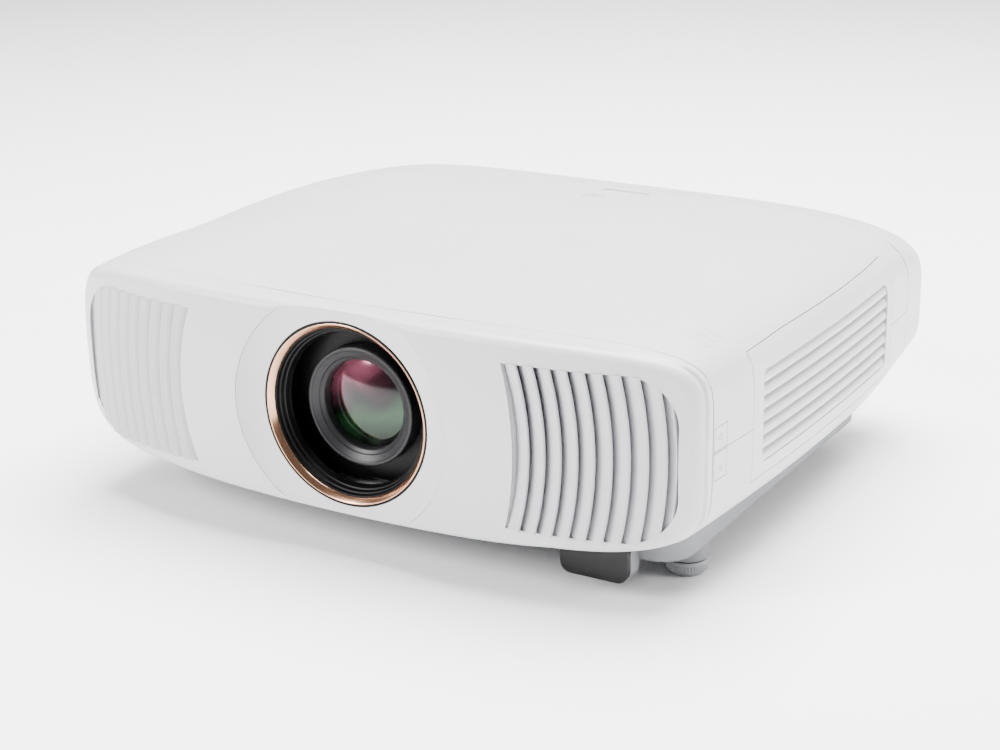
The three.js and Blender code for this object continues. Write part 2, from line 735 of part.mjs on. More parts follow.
function lens() {
  const rim = turnedY([
    [GLASS_R + SLACK, rimY + 5],
    [RIM_R - 2, rimY],
    [RIM_R, rimY + 1.5],
    [RIM_R, baffleY - TINY],
    [GLASS_R + SLACK, baffleY - TINY],
  ]);
  add('lens_rim', atLens(rim), 'rim');

  const dome = [];
  const DOME_STEPS = 4;
  const DOME_H = 7;
  for (let k = 0; k <= DOME_STEPS; k += 1) {
    const angle = (Math.PI / 2) * (k / DOME_STEPS);
    dome.push([GLASS_R * Math.sin(angle), rimY + 5.5 + DOME_H * (1 - Math.cos(angle))]);
  }
  const glass = turnedY([...dome, [GLASS_R, rimY + 17], [0, rimY + 17]]);
  add('front_glass', atLens(glass.subtract(rodY(GLASS_R + 1, baffleY - TINY, FAR))), 'glass');

  const octagon = new THREE.Shape();
  const cornerCut = 26;
  const w = BAFFLE_HALF_W;
  const h = BAFFLE_HALF_H;
  octagon.moveTo(w, LENS_Z - h + cornerCut);
  octagon.lineTo(w, LENS_Z + h - cornerCut);
  octagon.lineTo(w - cornerCut, LENS_Z + h);
  octagon.lineTo(cornerCut - w, LENS_Z + h);
  octagon.lineTo(-w, LENS_Z + h - cornerCut);
  octagon.lineTo(-w, LENS_Z - h + cornerCut);
  octagon.lineTo(cornerCut - w, LENS_Z - h);
  octagon.lineTo(w - cornerCut, LENS_Z - h);
  const baffle = prismY(octagon, baffleY, baffleY + 1.5);
  add('lens_baffle', baffle.subtract(rodY(BARREL_R - 6, baffleY - 9, baffleY + 9, 0, LENS_Z)), 'dark');

  const barrel = turnedY([
    [BARREL_R - 6, baffleY + 1.5 + TINY],
    [BARREL_R, baffleY + 1.5 + TINY],
    [BARREL_R, flangeY - TINY],
    [BARREL_R - 6, flangeY - TINY],
  ]);
  add('lens_barrel', atLens(barrel), 'dark');
  add('focus_ring', gearRing(focusY), 'dark');
  add('zoom_ring', gearRing(zoomY), 'dark');

  const tube = turnedY([
    [TUBE_R - 4, flangeY],
    [BARREL_R + 12, flangeY],
    [BARREL_R + 12, upPlateY - TINY],
    [TUBE_R, upPlateY - TINY],
    [TUBE_R, tubeEndY],
    [TUBE_R - 4, tubeEndY],
  ]);
  add('lens_rear_tube', atLens(tube), 'dark');

  const [px, pz] = pinionPlace();
  add('focus_pinion', rodY(PINION_R, focusY, focusY + RING_W - 6, px, pz, 24), 'brass');
  add('zoom_pinion', rodY(PINION_R, zoomY, zoomY + RING_W - 6, px, pz, 24), 'brass');
}

// ------------------------------------------------------------------ lens shift stage
function stagePlate(y, halfW, halfH, hole) {
  const plate = box(-halfW, halfW, y, y + PLATE_T, LENS_Z - halfH, LENS_Z + halfH);
  return plate.subtract(rodY(hole, y - 9, y + 9, 0, LENS_Z, 24));
}

function stage() {
  const diagonal = Math.hypot(SHIFT_UP, SHIFT_ACROSS);
  add('shift_plate_up', stagePlate(upPlateY, 56, 50, TUBE_R + SLACK), 'metal');
  add('shift_plate_across', stagePlate(acrossPlateY, 64, 62, TUBE_R + SHIFT_UP + 2), 'metal');
  add('shift_base', stagePlate(basePlateY, 78, 64, TUBE_R + diagonal + 2), 'metal');
}

// ------------------------------------------------------------------ light engine
const engineY = tubeEndY + 4;
const ENGINE_L = 86;
const ENGINE_HALF_W = 80;
const ENGINE_HALF_H = 34;
const ENGINE_WALL = 10;
const PRISM = 24;
const PRISM_IN = 10;
const PANEL_T = 3;
const PANEL_HALF = 11;
const LASER_X = 130;
const LASER_HALF_W = 35;
const LASER_D = 60;
const REAR_CLEAR = 70;
const WHEEL_X = 60;
const WHEEL_R = 26;
const WHEEL_HUB_R = 8;

function engine() {
  const low = LENS_Z - ENGINE_HALF_H;
  const block = box(-ENGINE_HALF_W, ENGINE_HALF_W, engineY, engineY + ENGINE_L, low, LENS_Z + ENGINE_HALF_H);
  const room = ENGINE_HALF_W / 2;
  const cavity = box(
    -room, room, engineY - 1, engineY + ENGINE_L - PRISM, low + ENGINE_WALL, LENS_Z + ENGINE_HALF_H + 1,
  );
  add('engine_housing', block.subtract(cavity), 'dark');
  const prismY0 = engineY + PRISM_IN;
  const half = PRISM / 2;
  const prism = box(-half, half, prismY0, prismY0 + PRISM, LENS_Z - half, LENS_Z + half);
  add('colour_prism', prism, 'glass');
  const near = half + 1;
  const middle = prismY0 + half;
  const behind = prismY0 + PRISM + 1;
  const lcd = (x0, x1, y0, y1) => box(x0, x1, y0, y1, LENS_Z - PANEL_HALF, LENS_Z + PANEL_HALF);
  add('panel_red', lcd(-near - PANEL_T, -near, middle - PANEL_HALF, middle + PANEL_HALF), 'metal');
  add('panel_green', lcd(-PANEL_HALF, PANEL_HALF, behind, behind + PANEL_T), 'metal');
  add('panel_blue', lcd(near, near + PANEL_T, middle - PANEL_HALF, middle + PANEL_HALF), 'metal');

  const laserRear = REAR - REAR_CLEAR;
  const laser = box(
    LASER_X - LASER_HALF_W, LASER_X + LASER_HALF_W, laserRear - LASER_D, laserRear, LENS_Z - 35, LENS_Z + 25,
  );
  add('laser_module', laser, 'metal');
  const wheelZ = LENS_Z - 5;
  const disc = rodY(WHEEL_R, laserRear - 12, laserRear - 10, WHEEL_X, wheelZ, 24);
  const hub = rodY(WHEEL_HUB_R, laserRear - 18, laserRear - 4, WHEEL_X, wheelZ, 12);
  add('phosphor_wheel', disc.add(hub), 'brass');
}

// ------------------------------------------------------------------ cooling
// A fan about its own centre, blowing along Y.
function fanFrame() {
  const half = FAN / 2;
  const bore = rodY(half - 3, -FAN, FAN, 0, 0, 14);
  const frame = box(-half, half, -FAN_T / 2, FAN_T / 2, -half, half).subtract(bore);
  const spoke = join([box(-half + 1, half - 1, FAN_T / 2 - 1.5, FAN_T / 2, -2, 2),
    rodY(12, FAN_T / 2 - 1.5, FAN_T / 2, 0, 0, 12)]);
  return frame.add(spoke);
}

function fanRotor() {
  const hub = rodY(12, -FAN_T / 2 + 1, FAN_T / 2 - 2.5, 0, 0, 14);
  const blades = [];
  for (let k = 0; k < FAN_BLADES; k += 1) {
    const blade = new THREE.BoxGeometry(FAN / 2 - 15, 1.4, 14);
    blade.rotateX(THREE.MathUtils.degToRad(50));
    blade.translate(FAN / 4 + 2.5, -1, 0);
    blade.rotateY((2 * Math.PI * k) / FAN_BLADES);
    blades.push(solid(blade));
  }
  return join([hub, ...blades]);
}

function addFan(name, x, y, z, turn) {
  const group = new THREE.Group();
  group.position.set(x, y, z);
  group.rotation.z = turn;
  group.add(mesh(`${name}_frame`, fanFrame(), 'black'));
  group.add(mesh(`${name}_rotor`, fanRotor(), 'dark'));
  projector.add(group);
}

const filterX = SIDE - 16;
const SINK_W = 60;
const SINK_D = 70;
const FIN_COUNT = 7;
const FIN_PITCH = 9.5;
const FIN_T = 2.5;

function cooling() {
  const grilleMid = (GRILLE_IN + grilleOut()) / 2 - 6;
  const exhaustY = FRONT + 68;
  addFan('exhaust_fan_left', -grilleMid, exhaustY, LENS_Z, 0);
  addFan('exhaust_fan_right', grilleMid, exhaustY, LENS_Z, 0);
  addFan('intake_fan', filterX - FILTER_T - 8 - FAN_T / 2, 30, LENS_Z + 2, Math.PI / 2);
  const pad = box(filterX - FILTER_T, filterX, VENT_FRONT + 6, VENT_BACK - 6, VENT_LOW + 2, VENT_TOP - 2);
  const pleats = [];
  const PLEAT_COUNT = 12;
  for (let k = 0; k < PLEAT_COUNT; k += 1) {
    const y = VENT_FRONT + 14 + (k * (VENT_BACK - VENT_FRONT - 28)) / (PLEAT_COUNT - 1);
    pleats.push(box(filterX - 5, SIDE, y - 3, y + 3, VENT_LOW + 6, VENT_TOP - 6));
  }
  add('air_filter', cut(pad, pleats), 'filter');

  const sinkX = -SIDE + SINK_W;
  const sinkY = FRONT + 100;
  const core = box(sinkX, sinkX + SINK_W, sinkY, sinkY + SINK_D, LENS_Z - 35, LENS_Z - 29);
  const fins = [];
  for (let k = 0; k < FIN_COUNT; k += 1) {
    const x = sinkX + FIN_PITCH * k;
    fins.push(box(x, x + FIN_T, sinkY, sinkY + SINK_D, LENS_Z - 30, LENS_Z + 30));
  }
  add('heat_sink', join([core, ...fins]), 'metal');
}

// ------------------------------------------------------------------ boards and power supply
const BOARD_Z = 156;
const SUPPLY_X = -SIDE + 56;
const SUPPLY_W = 80;
const SUPPLY_D = 90;
const SUPPLY_LOW = 60;
const SUPPLY_H = 50;

function boards() {
  const z = BOARD_Z;
  const chips = [[-60, 20, 40, 40], [30, 40, 26, 26], [-20, -20, 18, 30]];
  const board = box(-120, 110, -50, 90, z, z + 1.6);
  const parts = chips.map(([x, y, w, d]) => box(x, x + w, y, y + d, z + 1, z + 5));
  add('main_board', join([board, ...parts]), 'board');
  const supplyRear = REAR - REAR_CLEAR - 5;
  const supply = box(
    SUPPLY_X, SUPPLY_X + SUPPLY_W, supplyRear - SUPPLY_D, supplyRear, SUPPLY_LOW, SUPPLY_LOW + SUPPLY_H,
  );
  add('power_supply', supply, 'metal');
}

// ------------------------------------------------------------------ keys, lights, receiver
function controls() {
  for (const [name, zone] of Object.entries(keyZones)) {
    add(name, outer.intersect(keyZone(zone, 0)), 'white');
  }
  for (let k = 0; k < 3; k += 1) add(`status_light_${k + 1}`, outer.intersect(lightZone(k, 0)), 'light');
  add('rear_cover_latch', caseBlock(1).intersect(latchZone(0)), 'white');
  add('receiver_window', prismY(receiverShape(), receiverY, receiverY + RECEIVER_T), 'black');
}

// ------------------------------------------------------------------ feet
function feet() {
  const TEETH = 18;
  for (const [side, sign] of sides) {
    const wheel = new THREE.Group();
    wheel.position.set(sign * footX, footY, 0);
    const knurl = new THREE.Shape();
    for (let k = 0; k < 2 * TEETH; k += 1) {
      const angle = (Math.PI * k) / TEETH;
      const r = k % 2 ? FOOT_R : FOOT_R - 0.8;
      const at = [r * Math.cos(angle), r * Math.sin(angle)];
      if (k) knurl.lineTo(...at);
      else knurl.moveTo(...at);
    }
    const disc = prismZ(knurl, 3, FOOT_H).add(rodZ(FOOT_R - 2.5, 0, 3.1, 0, 0, 20, FOOT_R - 1));
    const socket = rodZ(STEM_R + SLACK, 3, FAR, 0, 0, 14);
    wheel.add(mesh(`front_foot_wheel_${side}`, disc.subtract(socket), 'grey'));
    wheel.add(mesh(`front_foot_stem_${side}`, rodZ(STEM_R, 3 + TINY, STEM_TOP - 8, 0, 0, 14), 'metal'));
    projector.add(wheel);
    const padShape = rodZ(REAR_FOOT_R - 1, 0, BOSS_LOW - TINY, 0, 0, 20, REAR_FOOT_R);
    const pad = mesh(`rear_foot_${side}`, padShape, 'rubber');
    pad.position.set(sign * rearFootX, rearFootY, 0);
    projector.add(pad);
  }
}

shells();
rear();
frontPanel();
add('filter_door', filterDoor(), 'white');
shutter();
lens();
stage();
engine();
cooling();
boards();
controls();
feet();

export default projector;
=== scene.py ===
"""Home projector: moulded shells, lens opening, grilles, filter door, keys and feet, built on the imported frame."""

import logging
import math
from dataclasses import dataclass
from enum import Enum
from typing import Callable, Optional, Sequence

import bmesh
import bpy
import numpy as np
from mathutils import Matrix, Vector


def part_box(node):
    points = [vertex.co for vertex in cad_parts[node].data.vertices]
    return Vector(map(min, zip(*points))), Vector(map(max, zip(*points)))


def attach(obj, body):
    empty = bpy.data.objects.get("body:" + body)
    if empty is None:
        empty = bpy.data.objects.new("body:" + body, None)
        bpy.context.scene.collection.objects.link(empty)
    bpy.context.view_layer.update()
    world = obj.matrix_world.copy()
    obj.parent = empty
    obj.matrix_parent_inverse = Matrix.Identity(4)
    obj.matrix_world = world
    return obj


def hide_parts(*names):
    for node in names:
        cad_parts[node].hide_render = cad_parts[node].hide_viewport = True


LOG = logging.getLogger("projector")
MM = 0.001
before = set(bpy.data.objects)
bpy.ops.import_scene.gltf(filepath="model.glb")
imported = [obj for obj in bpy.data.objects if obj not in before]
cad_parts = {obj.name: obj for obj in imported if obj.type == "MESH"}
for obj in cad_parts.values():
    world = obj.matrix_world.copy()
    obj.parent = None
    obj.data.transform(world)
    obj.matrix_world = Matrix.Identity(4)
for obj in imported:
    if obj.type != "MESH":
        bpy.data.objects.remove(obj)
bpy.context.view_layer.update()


class Side(Enum):
    """Which side of the lens a piece stands on, seen from the front."""

    LEFT = -1
    RIGHT = 1


def span(node: str) -> tuple[np.ndarray, np.ndarray]:
    """A CAD node's lowest and highest corners.

    Args:
        node: the node's name.
    Returns:
        Two corners, in millimetres.
    """
    low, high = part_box(node)
    return np.array(low) / MM, np.array(high) / MM


def middle(node: str) -> np.ndarray:
    """The middle of a CAD node's box, in millimetres."""
    low, high = span(node)
    return (low + high) / 2


# ---------------------------------------------------------------- finishes
def linear(colour: str) -> tuple[float, float, float, float]:
    """An sRGB hex colour as linear light.

    Args:
        colour: six hex digits after a hash sign.
    Returns:
        Red, green, blue and a full alpha.
    """
    shares = [int(colour[k : k + 2], 16) / 255 for k in (1, 3, 5)]
    red, green, blue = [c / 12.92 if c <= 0.04045 else ((c + 0.055) / 1.055) ** 2.4 for c in shares]
    return red, green, blue, 1.0


def add_node(tree: bpy.types.NodeTree, kind: str, inputs: dict, **settings) -> bpy.types.Node:
    """Adds one node with its settings, values and links.

    Args:
        tree: the node tree.
        kind: the node's type name.
        inputs: socket name or number, to a value or to another node's output.
        **settings: the node's own properties.
    Returns:
        The new node.
    """
    made = tree.nodes.new(kind)
    for key, value in settings.items():
        setattr(made, key, value)
    for key, value in inputs.items():
        if isinstance(value, bpy.types.NodeSocket):
            tree.links.new(value, made.inputs[key])
        else:
            made.inputs[key].default_value = value
    return made


@dataclass(frozen=True)
class Finish:
    """A material by what it is and how its surface was made.

    The grain is a fine relief of real size, and the drift is a slow change of tone and gloss over the piece.
    """

    name: str
    slot: str
    colour: str
    shade: str
    roughness: float
    metallic: float = 0.0
    ior: float = 1.5
    grain_mm: float = 0.8
    relief_mm: float = 0.01
    drift_mm: float = 90.0
    gloss_change: float = 0.04
    stretch: tuple = (1.0, 1.0, 1.0)
    coat: float = 0.0
    specular: float = 0.5

    def make(self) -> bpy.types.Material:
        """The finish as a material, made once.

        Returns:
            The material.
        """
        known = bpy.data.materials.get(self.name)
        if known:
            return known
        material = bpy.data.materials.new(self.name)
        material.use_nodes = True
        material.node_tree.nodes.clear()
        shader = self.shader(material.node_tree)
        add_node(material.node_tree, "ShaderNodeOutputMaterial", {"Surface": shader.outputs[0]})
        return material

    def place(self, tree: bpy.types.NodeTree) -> bpy.types.NodeSocket:
        """The point on the piece, stretched along the grain."""
        at = add_node(tree, "ShaderNodeTexCoord", {})
        return add_node(tree, "ShaderNodeMapping", {"Vector": at.outputs["Object"], "Scale": self.stretch}).outputs[0]

    def tone(self, tree: bpy.types.NodeTree, place: bpy.types.NodeSocket) -> bpy.types.NodeSocket:
        """The colour, drifting slowly between the finish's two tones.

        Args:
            tree: the node tree.
            place: the point on the piece.
        Returns:
            The colour output.
        """
        drift = add_node(tree, "ShaderNodeTexNoise", {"Vector": place, "Scale": 1 / (self.drift_mm * MM), "Detail": 3.0})
        mix = add_node(
            tree, "ShaderNodeMix",
            {0: drift.outputs[0], 6: linear(self.colour), 7: linear(self.shade)}, data_type="RGBA",
        )
        return mix.outputs[2]

    def relief(self, tree: bpy.types.NodeTree, place: bpy.types.NodeSocket) -> bpy.types.NodeSocket:
        """The height of the surface's grain, from 0 to 1."""
        scale = 1 / (self.grain_mm * MM)
        return add_node(tree, "ShaderNodeTexNoise", {"Vector": place, "Scale": scale, "Detail": 2.0}).outputs[0]

    def shader(self, tree: bpy.types.NodeTree) -> bpy.types.Node:
        """The surface shader with its tone, gloss and grain.

        Args:
            tree: the node tree.
        Returns:
            The shader node.
        """
        place = self.place(tree)
        bump = add_node(
            tree, "ShaderNodeBump",
            {"Height": self.relief(tree, place), "Distance": self.relief_mm * MM, "Strength": 1.0},
        )
        wear = add_node(tree, "ShaderNodeTexNoise", {"Vector": place, "Scale": 2.6 / (self.drift_mm * MM), "Detail": 4.0})
        gloss = add_node(
            tree, "ShaderNodeMapRange",
            {
                "Value": wear.outputs[0], "From Min": 0.3, "From Max": 0.7,
                "To Min": self.roughness - self.gloss_change, "To Max": self.roughness + self.gloss_change,
            },
        )
        return add_node(
            tree, "ShaderNodeBsdfPrincipled",
            {
                "Base Color": self.tone(tree, place), "Roughness": gloss.outputs[0], "Metallic": self.metallic,
                "IOR": self.ior, "Normal": bump.outputs[0], "Coat Weight": self.coat, "Coat Roughness": 0.08,
                "Specular IOR Level": self.specular,
            },
        )


@dataclass(frozen=True)
class CircuitBoard(Finish):
    """Solder mask over copper: rows of fine tracks and pads show as a lighter pattern."""

    def tone(self, tree: bpy.types.NodeTree, place: bpy.types.NodeSocket) -> bpy.types.NodeSocket:
        """Tracks about a millimetre wide between the mask's two tones."""
        cells = add_node(
            tree, "ShaderNodeTexBrick",
            {
                "Vector": place, "Color1": linear(self.colour), "Color2": linear(self.shade),
                "Mortar": linear("#3f8a5c"), "Scale": 60.0, "Mortar Size": 0.04,
            },
        )
        return cells.outputs[0]


@dataclass(frozen=True)
class FilterFelt(Finish):
    """Pleated glass-fibre felt: a tangle of fibres with a row of folds."""

    def relief(self, tree: bpy.types.NodeTree, place: bpy.types.NodeSocket) -> bpy.types.NodeSocket:
        """Folds every four millimetres."""
        folds = add_node(
            tree, "ShaderNodeTexWave",
            {"Vector": place, "Scale": 80.0, "Distortion": 0.6}, bands_direction="Y",
        )
        return folds.outputs[1]


@dataclass(frozen=True)
class CoatedGlassPaintedReflection(Finish):
    """Multi-coated crown glass with painted reflections: magenta on one flank and green on the other, painted into its
    colour where the coatings would throw back the lights.
    """

    painted_green_reflection: str = "#16341c"
    deep: str = "#060807"

    def tone(self, tree: bpy.types.NodeTree, place: bpy.types.NodeSocket) -> bpy.types.NodeSocket:
        """Painted reflections: magenta up and to the left, green down and to the right, nearly black between them."""
        centre = middle("front_glass") * MM
        swirl = add_node(tree, "ShaderNodeTexNoise", {"Vector": place, "Scale": 26.0, "Detail": 1.0, "Distortion": 1.6})
        parts = add_node(tree, "ShaderNodeSeparateXYZ", {"Vector": place})
        across = add_node(tree, "ShaderNodeMath", {0: parts.outputs[0], 1: float(centre[0])}, operation="SUBTRACT")
        up = add_node(tree, "ShaderNodeMath", {0: parts.outputs[2], 1: float(centre[2])}, operation="SUBTRACT")
        slant = add_node(
            tree, "ShaderNodeMath", {0: across.outputs[0], 1: -0.45, 2: up.outputs[0]}, operation="MULTIPLY_ADD",
        )
        bend = add_node(tree, "ShaderNodeMath", {0: swirl.outputs[0], 1: 0.03, 2: slant.outputs[0]}, operation="MULTIPLY_ADD")
        ramp = add_node(tree, "ShaderNodeValToRGB", {
            0: add_node(tree, "ShaderNodeMapRange", {"Value": bend.outputs[0], "From Min": -0.018, "From Max": 0.046}).outputs[0],
        })
        # The ramp's magenta and green stops are painted reflections of the coatings.
        stops = [(0.0, self.deep), (0.28, self.painted_green_reflection), (0.5, self.deep), (0.72, self.shade), (1.0, self.colour)]
        while len(ramp.color_ramp.elements) < len(stops):
            ramp.color_ramp.elements.new(0.5)
        for element, (at, colour) in zip(ramp.color_ramp.elements, stops):
            element.position = at
            element.color = linear(colour)
        return ramp.outputs[0]


# Injection-moulded ABS and PC, spark-eroded to a fine satin: soft white highlights.
WHITE_ABS = Finish("white_satin_abs", "white_shell", "#c8c8cb", "#c3c3c6", 0.36, grain_mm=0.9, relief_mm=0.004)
# The same white plastic under the case, darkened to grey as painted shade of the underside, with a coarser texture that
# hides scuffs.
GREY_ABS_PAINTED_SHADE = Finish("underside_abs_painted_shade", "grey_shell", "#6f7073", "#68696c", 0.5, grain_mm=1.1, relief_mm=0.02)
# The white plastic a little darker for the grille's slats, duct and tie bars and the latch grip: painted shade in their
# recesses.
SLAT_ABS_PAINTED_SHADE = Finish("grille_satin_abs_painted_shade", "white_shell", "#bcbcc0", "#b5b5b9", 0.4, grain_mm=0.9, relief_mm=0.004)
# Clear polycarbonate over a white diffuser.
LIGHT_PIPE = Finish("frosted_polycarbonate", "light_pipe", "#d9dbde", "#cfd1d5", 0.25, ior=1.585, coat=0.4)
# Piano-black acrylic that lets infrared through.
BLACK_ACRYLIC = Finish("infrared_black_acrylic", "black_gloss", "#070708", "#040405", 0.2, ior=1.49, specular=0.3)
# Black polycarbonate with a semi-matt finish that keeps stray light down.
BLACK_PC = Finish("black_polycarbonate", "black_matte", "#060607", "#040405", 0.4, ior=1.585, relief_mm=0.01, specular=0.12)
FAN_PBT = Finish("black_glass_filled_pbt", "black_matte", "#1a1a1c", "#121214", 0.5, grain_mm=1.4, relief_mm=0.03)
# Anodised aluminium, dark grey, turned on a lathe.
DARK_ANODISED = Finish("dark_anodised_aluminium", "lens_grey", "#48484b", "#3d3d40", 0.42, metallic=0.55, stretch=(1, 6, 1))
LENS_RIM = Finish("lens_rim_satin_paint", "lens_grey", "#232325", "#1c1c1e", 0.38, grain_mm=0.7, relief_mm=0.006, specular=0.25)
# Rose-gold anodised aluminium, diamond turned: crisp warm highlights.
ROSE_GOLD = Finish("rose_gold_anodised_aluminium", "rose_metal", "#d9ab8e", "#c79474", 0.2, metallic=1.0, relief_mm=0.002)
MILLED = Finish("milled_aluminium", "bare_metal", "#b9bbbe", "#a4a6a9", 0.34, metallic=1.0, stretch=(1, 1, 14))
ZINC_STEEL = Finish("zinc_plated_steel", "bare_metal", "#c3c5c6", "#a9abab", 0.3, metallic=1.0, grain_mm=5.0, relief_mm=0.01)
BRASS = Finish("turned_brass", "brass", "#c9a45a", "#b08d4a", 0.28, metallic=1.0, stretch=(1, 8, 1))
RUBBER = Finish("moulded_nitrile_rubber", "rubber", "#3a3a3c", "#2f2f31", 0.82, ior=1.52, grain_mm=1.0, relief_mm=0.05)
FOOT_ABS = Finish("foot_grey_abs", "grey_shell", "#8f9194", "#85878a", 0.45, grain_mm=1.0, relief_mm=0.02)
PRINT = Finish("grey_pad_print", "grey_shell", "#8d8f93", "#85878b", 0.5)
GAP_SHADE = Finish("seam_shade", "grey_shell", "#55575a", "#4c4e51", 0.6)
BOARD = CircuitBoard("green_solder_mask", "board", "#1f5a3a", "#1a4f33", 0.45, coat=0.3)
FELT = FilterFelt("pleated_filter_felt", "filter", "#d3d6d4", "#c4c8c5", 0.92, relief_mm=0.8)
# Coated glass, also used for the prism: its magenta and green are painted reflections.
GLASS_PAINTED_REFLECTION = CoatedGlassPaintedReflection("crown_glass_painted_reflection", "coated_glass", "#8a4a5c", "#3a1c26", 0.1, metallic=0.6, coat=0.4, relief_mm=0.0)


# ---------------------------------------------------------------- making surfaces
class Shape:
    """Patches of a surface in millimetres, welded into one mesh."""

    def __init__(self) -> None:
        """Starts with no patches."""
        self.points: list[np.ndarray] = []
        self.faces: list[np.ndarray] = []
        self.count = 0

    def patch(self, points: np.ndarray, loop: bool = False, keep: Optional[np.ndarray] = None) -> "Shape":
        """Adds a grid of points, each four neighbours making a face.

        Args:
            points: rows by columns by 3.
            loop: whether the last column joins the first.
            keep: which faces stay, rows-1 by columns-1; all if left out.
        Returns:
            The shape, for the next patch.
        """
        rows, cols = points.shape[:2]
        index = np.arange(rows * cols).reshape(rows, cols) + self.count
        if loop:
            index = np.concatenate([index, index[:, :1]], axis=1)
        quads = np.stack([index[:-1, :-1], index[:-1, 1:], index[1:, 1:], index[1:, :-1]], axis=-1)
        self.faces.append((quads if keep is None else quads[keep]).reshape(-1, 4))
        self.points.append(points.reshape(-1, 3))
        self.count += rows * cols
        return self

    def mirrored(self) -> "Shape":
        """Adds a copy of everything so far on the other side of the middle plane."""
        for points, faces in list(zip(self.points, self.faces)):
            self.points.append(points * np.array([-1.0, 1.0, 1.0]))
            self.faces.append(faces + self.count)
        self.count *= 2
        return self

    def build(
        self, name: str, finish: Finish, body: str = "case", stands_for: Sequence[str] = (),
        inside: Optional[Sequence[float]] = None, wall: float = 0.0, bevel: float = 0.0, capped: bool = False,
        cuts: Sequence["Shape"] = (),
    ) -> bpy.types.Object:
        """Welds the patches and makes the piece.

        Args:
            name: the piece's name.
            finish: its finish.
            body: the moving body it rides on.
            stands_for: the CAD nodes it replaces.
            inside: for an open surface, a point behind it, away from which its faces point.
            wall: how thick the moulding is behind the surface.
            bevel: the round on its sharp edges.
            capped: whether open ends are closed.
            cuts: closed shapes taken out of the wall.
        Returns:
            The piece.
        """
        mesh = bpy.data.meshes.new(name)
        mesh.from_pydata(np.concatenate(self.points) * MM, [], np.concatenate(self.faces).tolist())
        work = bmesh.new()
        work.from_mesh(mesh)
        bmesh.ops.remove_doubles(work, verts=work.verts, dist=0.02 * MM)
        bmesh.ops.dissolve_degenerate(work, edges=work.edges, dist=0.005 * MM)
        bmesh.ops.delete(work, geom=[v for v in work.verts if not v.link_faces], context="VERTS")
        if capped:
            bmesh.ops.holes_fill(work, edges=[e for e in work.edges if e.is_boundary], sides=0)
        bmesh.ops.recalc_face_normals(work, faces=work.faces)
        if inside is None:
            turned = work.calc_volume(signed=True) < 0
        else:
            behind = Vector(inside) * MM
            turned = sum((f.calc_center_median() - behind).dot(f.normal) * f.calc_area() for f in work.faces) < 0
        if turned:
            bmesh.ops.reverse_faces(work, faces=work.faces)
        work.to_mesh(mesh)
        work.free()
        mesh.shade_smooth()
        mesh.set_sharp_from_angle(angle=math.radians(40))
        piece = bpy.data.objects.new(name, mesh)
        bpy.context.scene.collection.objects.link(piece)
        mesh.materials.append(finish.make())
        if wall:
            solid = piece.modifiers.new("wall", "SOLIDIFY")
            solid.thickness = wall * MM
            solid.offset = -1.0
            solid.use_even_offset = True
            solid.use_quality_normals = True
        if cuts:
            take_out(piece, cuts)
        if bevel:
            rounding = piece.modifiers.new("edges", "BEVEL")
            rounding.width = bevel * MM
            rounding.segments = 2
            rounding.limit_method = "ANGLE"
            rounding.angle_limit = math.radians(40)
            rounding.harden_normals = True
        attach(piece, body)
        if stands_for:
            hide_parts(*stands_for)
        LOG.info("%s: %d faces", name, len(mesh.polygons))
        return piece


def take_out(piece: bpy.types.Object, cuts: Sequence[Shape]) -> None:
    """Cuts closed shapes out of a piece and keeps the result as its mesh.

    Args:
        piece: the piece, with its wall as a live modifier.
        cuts: the shapes to take out.
    """
    tools = []
    for cut in cuts:
        mesh = bpy.data.meshes.new("cutter")
        mesh.from_pydata(np.concatenate(cut.points) * MM, [], np.concatenate(cut.faces).tolist())
        work = bmesh.new()
        work.from_mesh(mesh)
        bmesh.ops.remove_doubles(work, verts=work.verts, dist=0.02 * MM)
        bmesh.ops.holes_fill(work, edges=[e for e in work.edges if e.is_boundary], sides=0)
        bmesh.ops.recalc_face_normals(work, faces=work.faces)
        work.to_mesh(mesh)
        work.free()
        tool = bpy.data.objects.new("cutter", mesh)
        bpy.context.scene.collection.objects.link(tool)
        tools.append(tool)
        hole = piece.modifiers.new("hole", "BOOLEAN")
        hole.operation = "DIFFERENCE"
        hole.object = tool
        hole.solver = "EXACT"
    bpy.context.view_layer.update()
    graph = bpy.context.evaluated_depsgraph_get()
    cut_mesh = bpy.data.meshes.new_from_object(piece.evaluated_get(graph))
    cut_mesh.name = piece.name
    piece.modifiers.clear()
    piece.data = cut_mesh
    cut_mesh.shade_smooth()
    cut_mesh.set_sharp_from_angle(angle=math.radians(40))
    for tool in tools:
        bpy.data.objects.remove(tool)


def turned(profile: Sequence[tuple], centre: Sequence[float], along: str = "y", steps: int = 128, knurl: Optional[Callable] = None) -> Shape:
    """A turned surface: each [radius, place] point of the profile is carried round the axis.

    Args:
        profile: radius and place along the axis, in order.
        centre: the two other coordinates of the axis.
        along: which axis it turns about, y or z.
        steps: how many columns go round.
        knurl: what the radius changes by, from the angle and the profile's point number.
    Returns:
        The shape.
    """
    points = np.array(profile, float)
    angle = np.linspace(0, 2 * np.pi, steps, endpoint=False)[None, :]
    radius = points[:, :1] + (knurl(angle, np.arange(len(points))[:, None]) if knurl else 0 * angle)
    first, second = radius * np.cos(angle), radius * np.sin(angle)
    place = points[:, 1:] + 0 * angle
    order = {"y": [first + centre[0], place, second + centre[1]], "z": [first + centre[0], second + centre[1], place]}
    return Shape().patch(np.stack(order[along], axis=-1), loop=True)


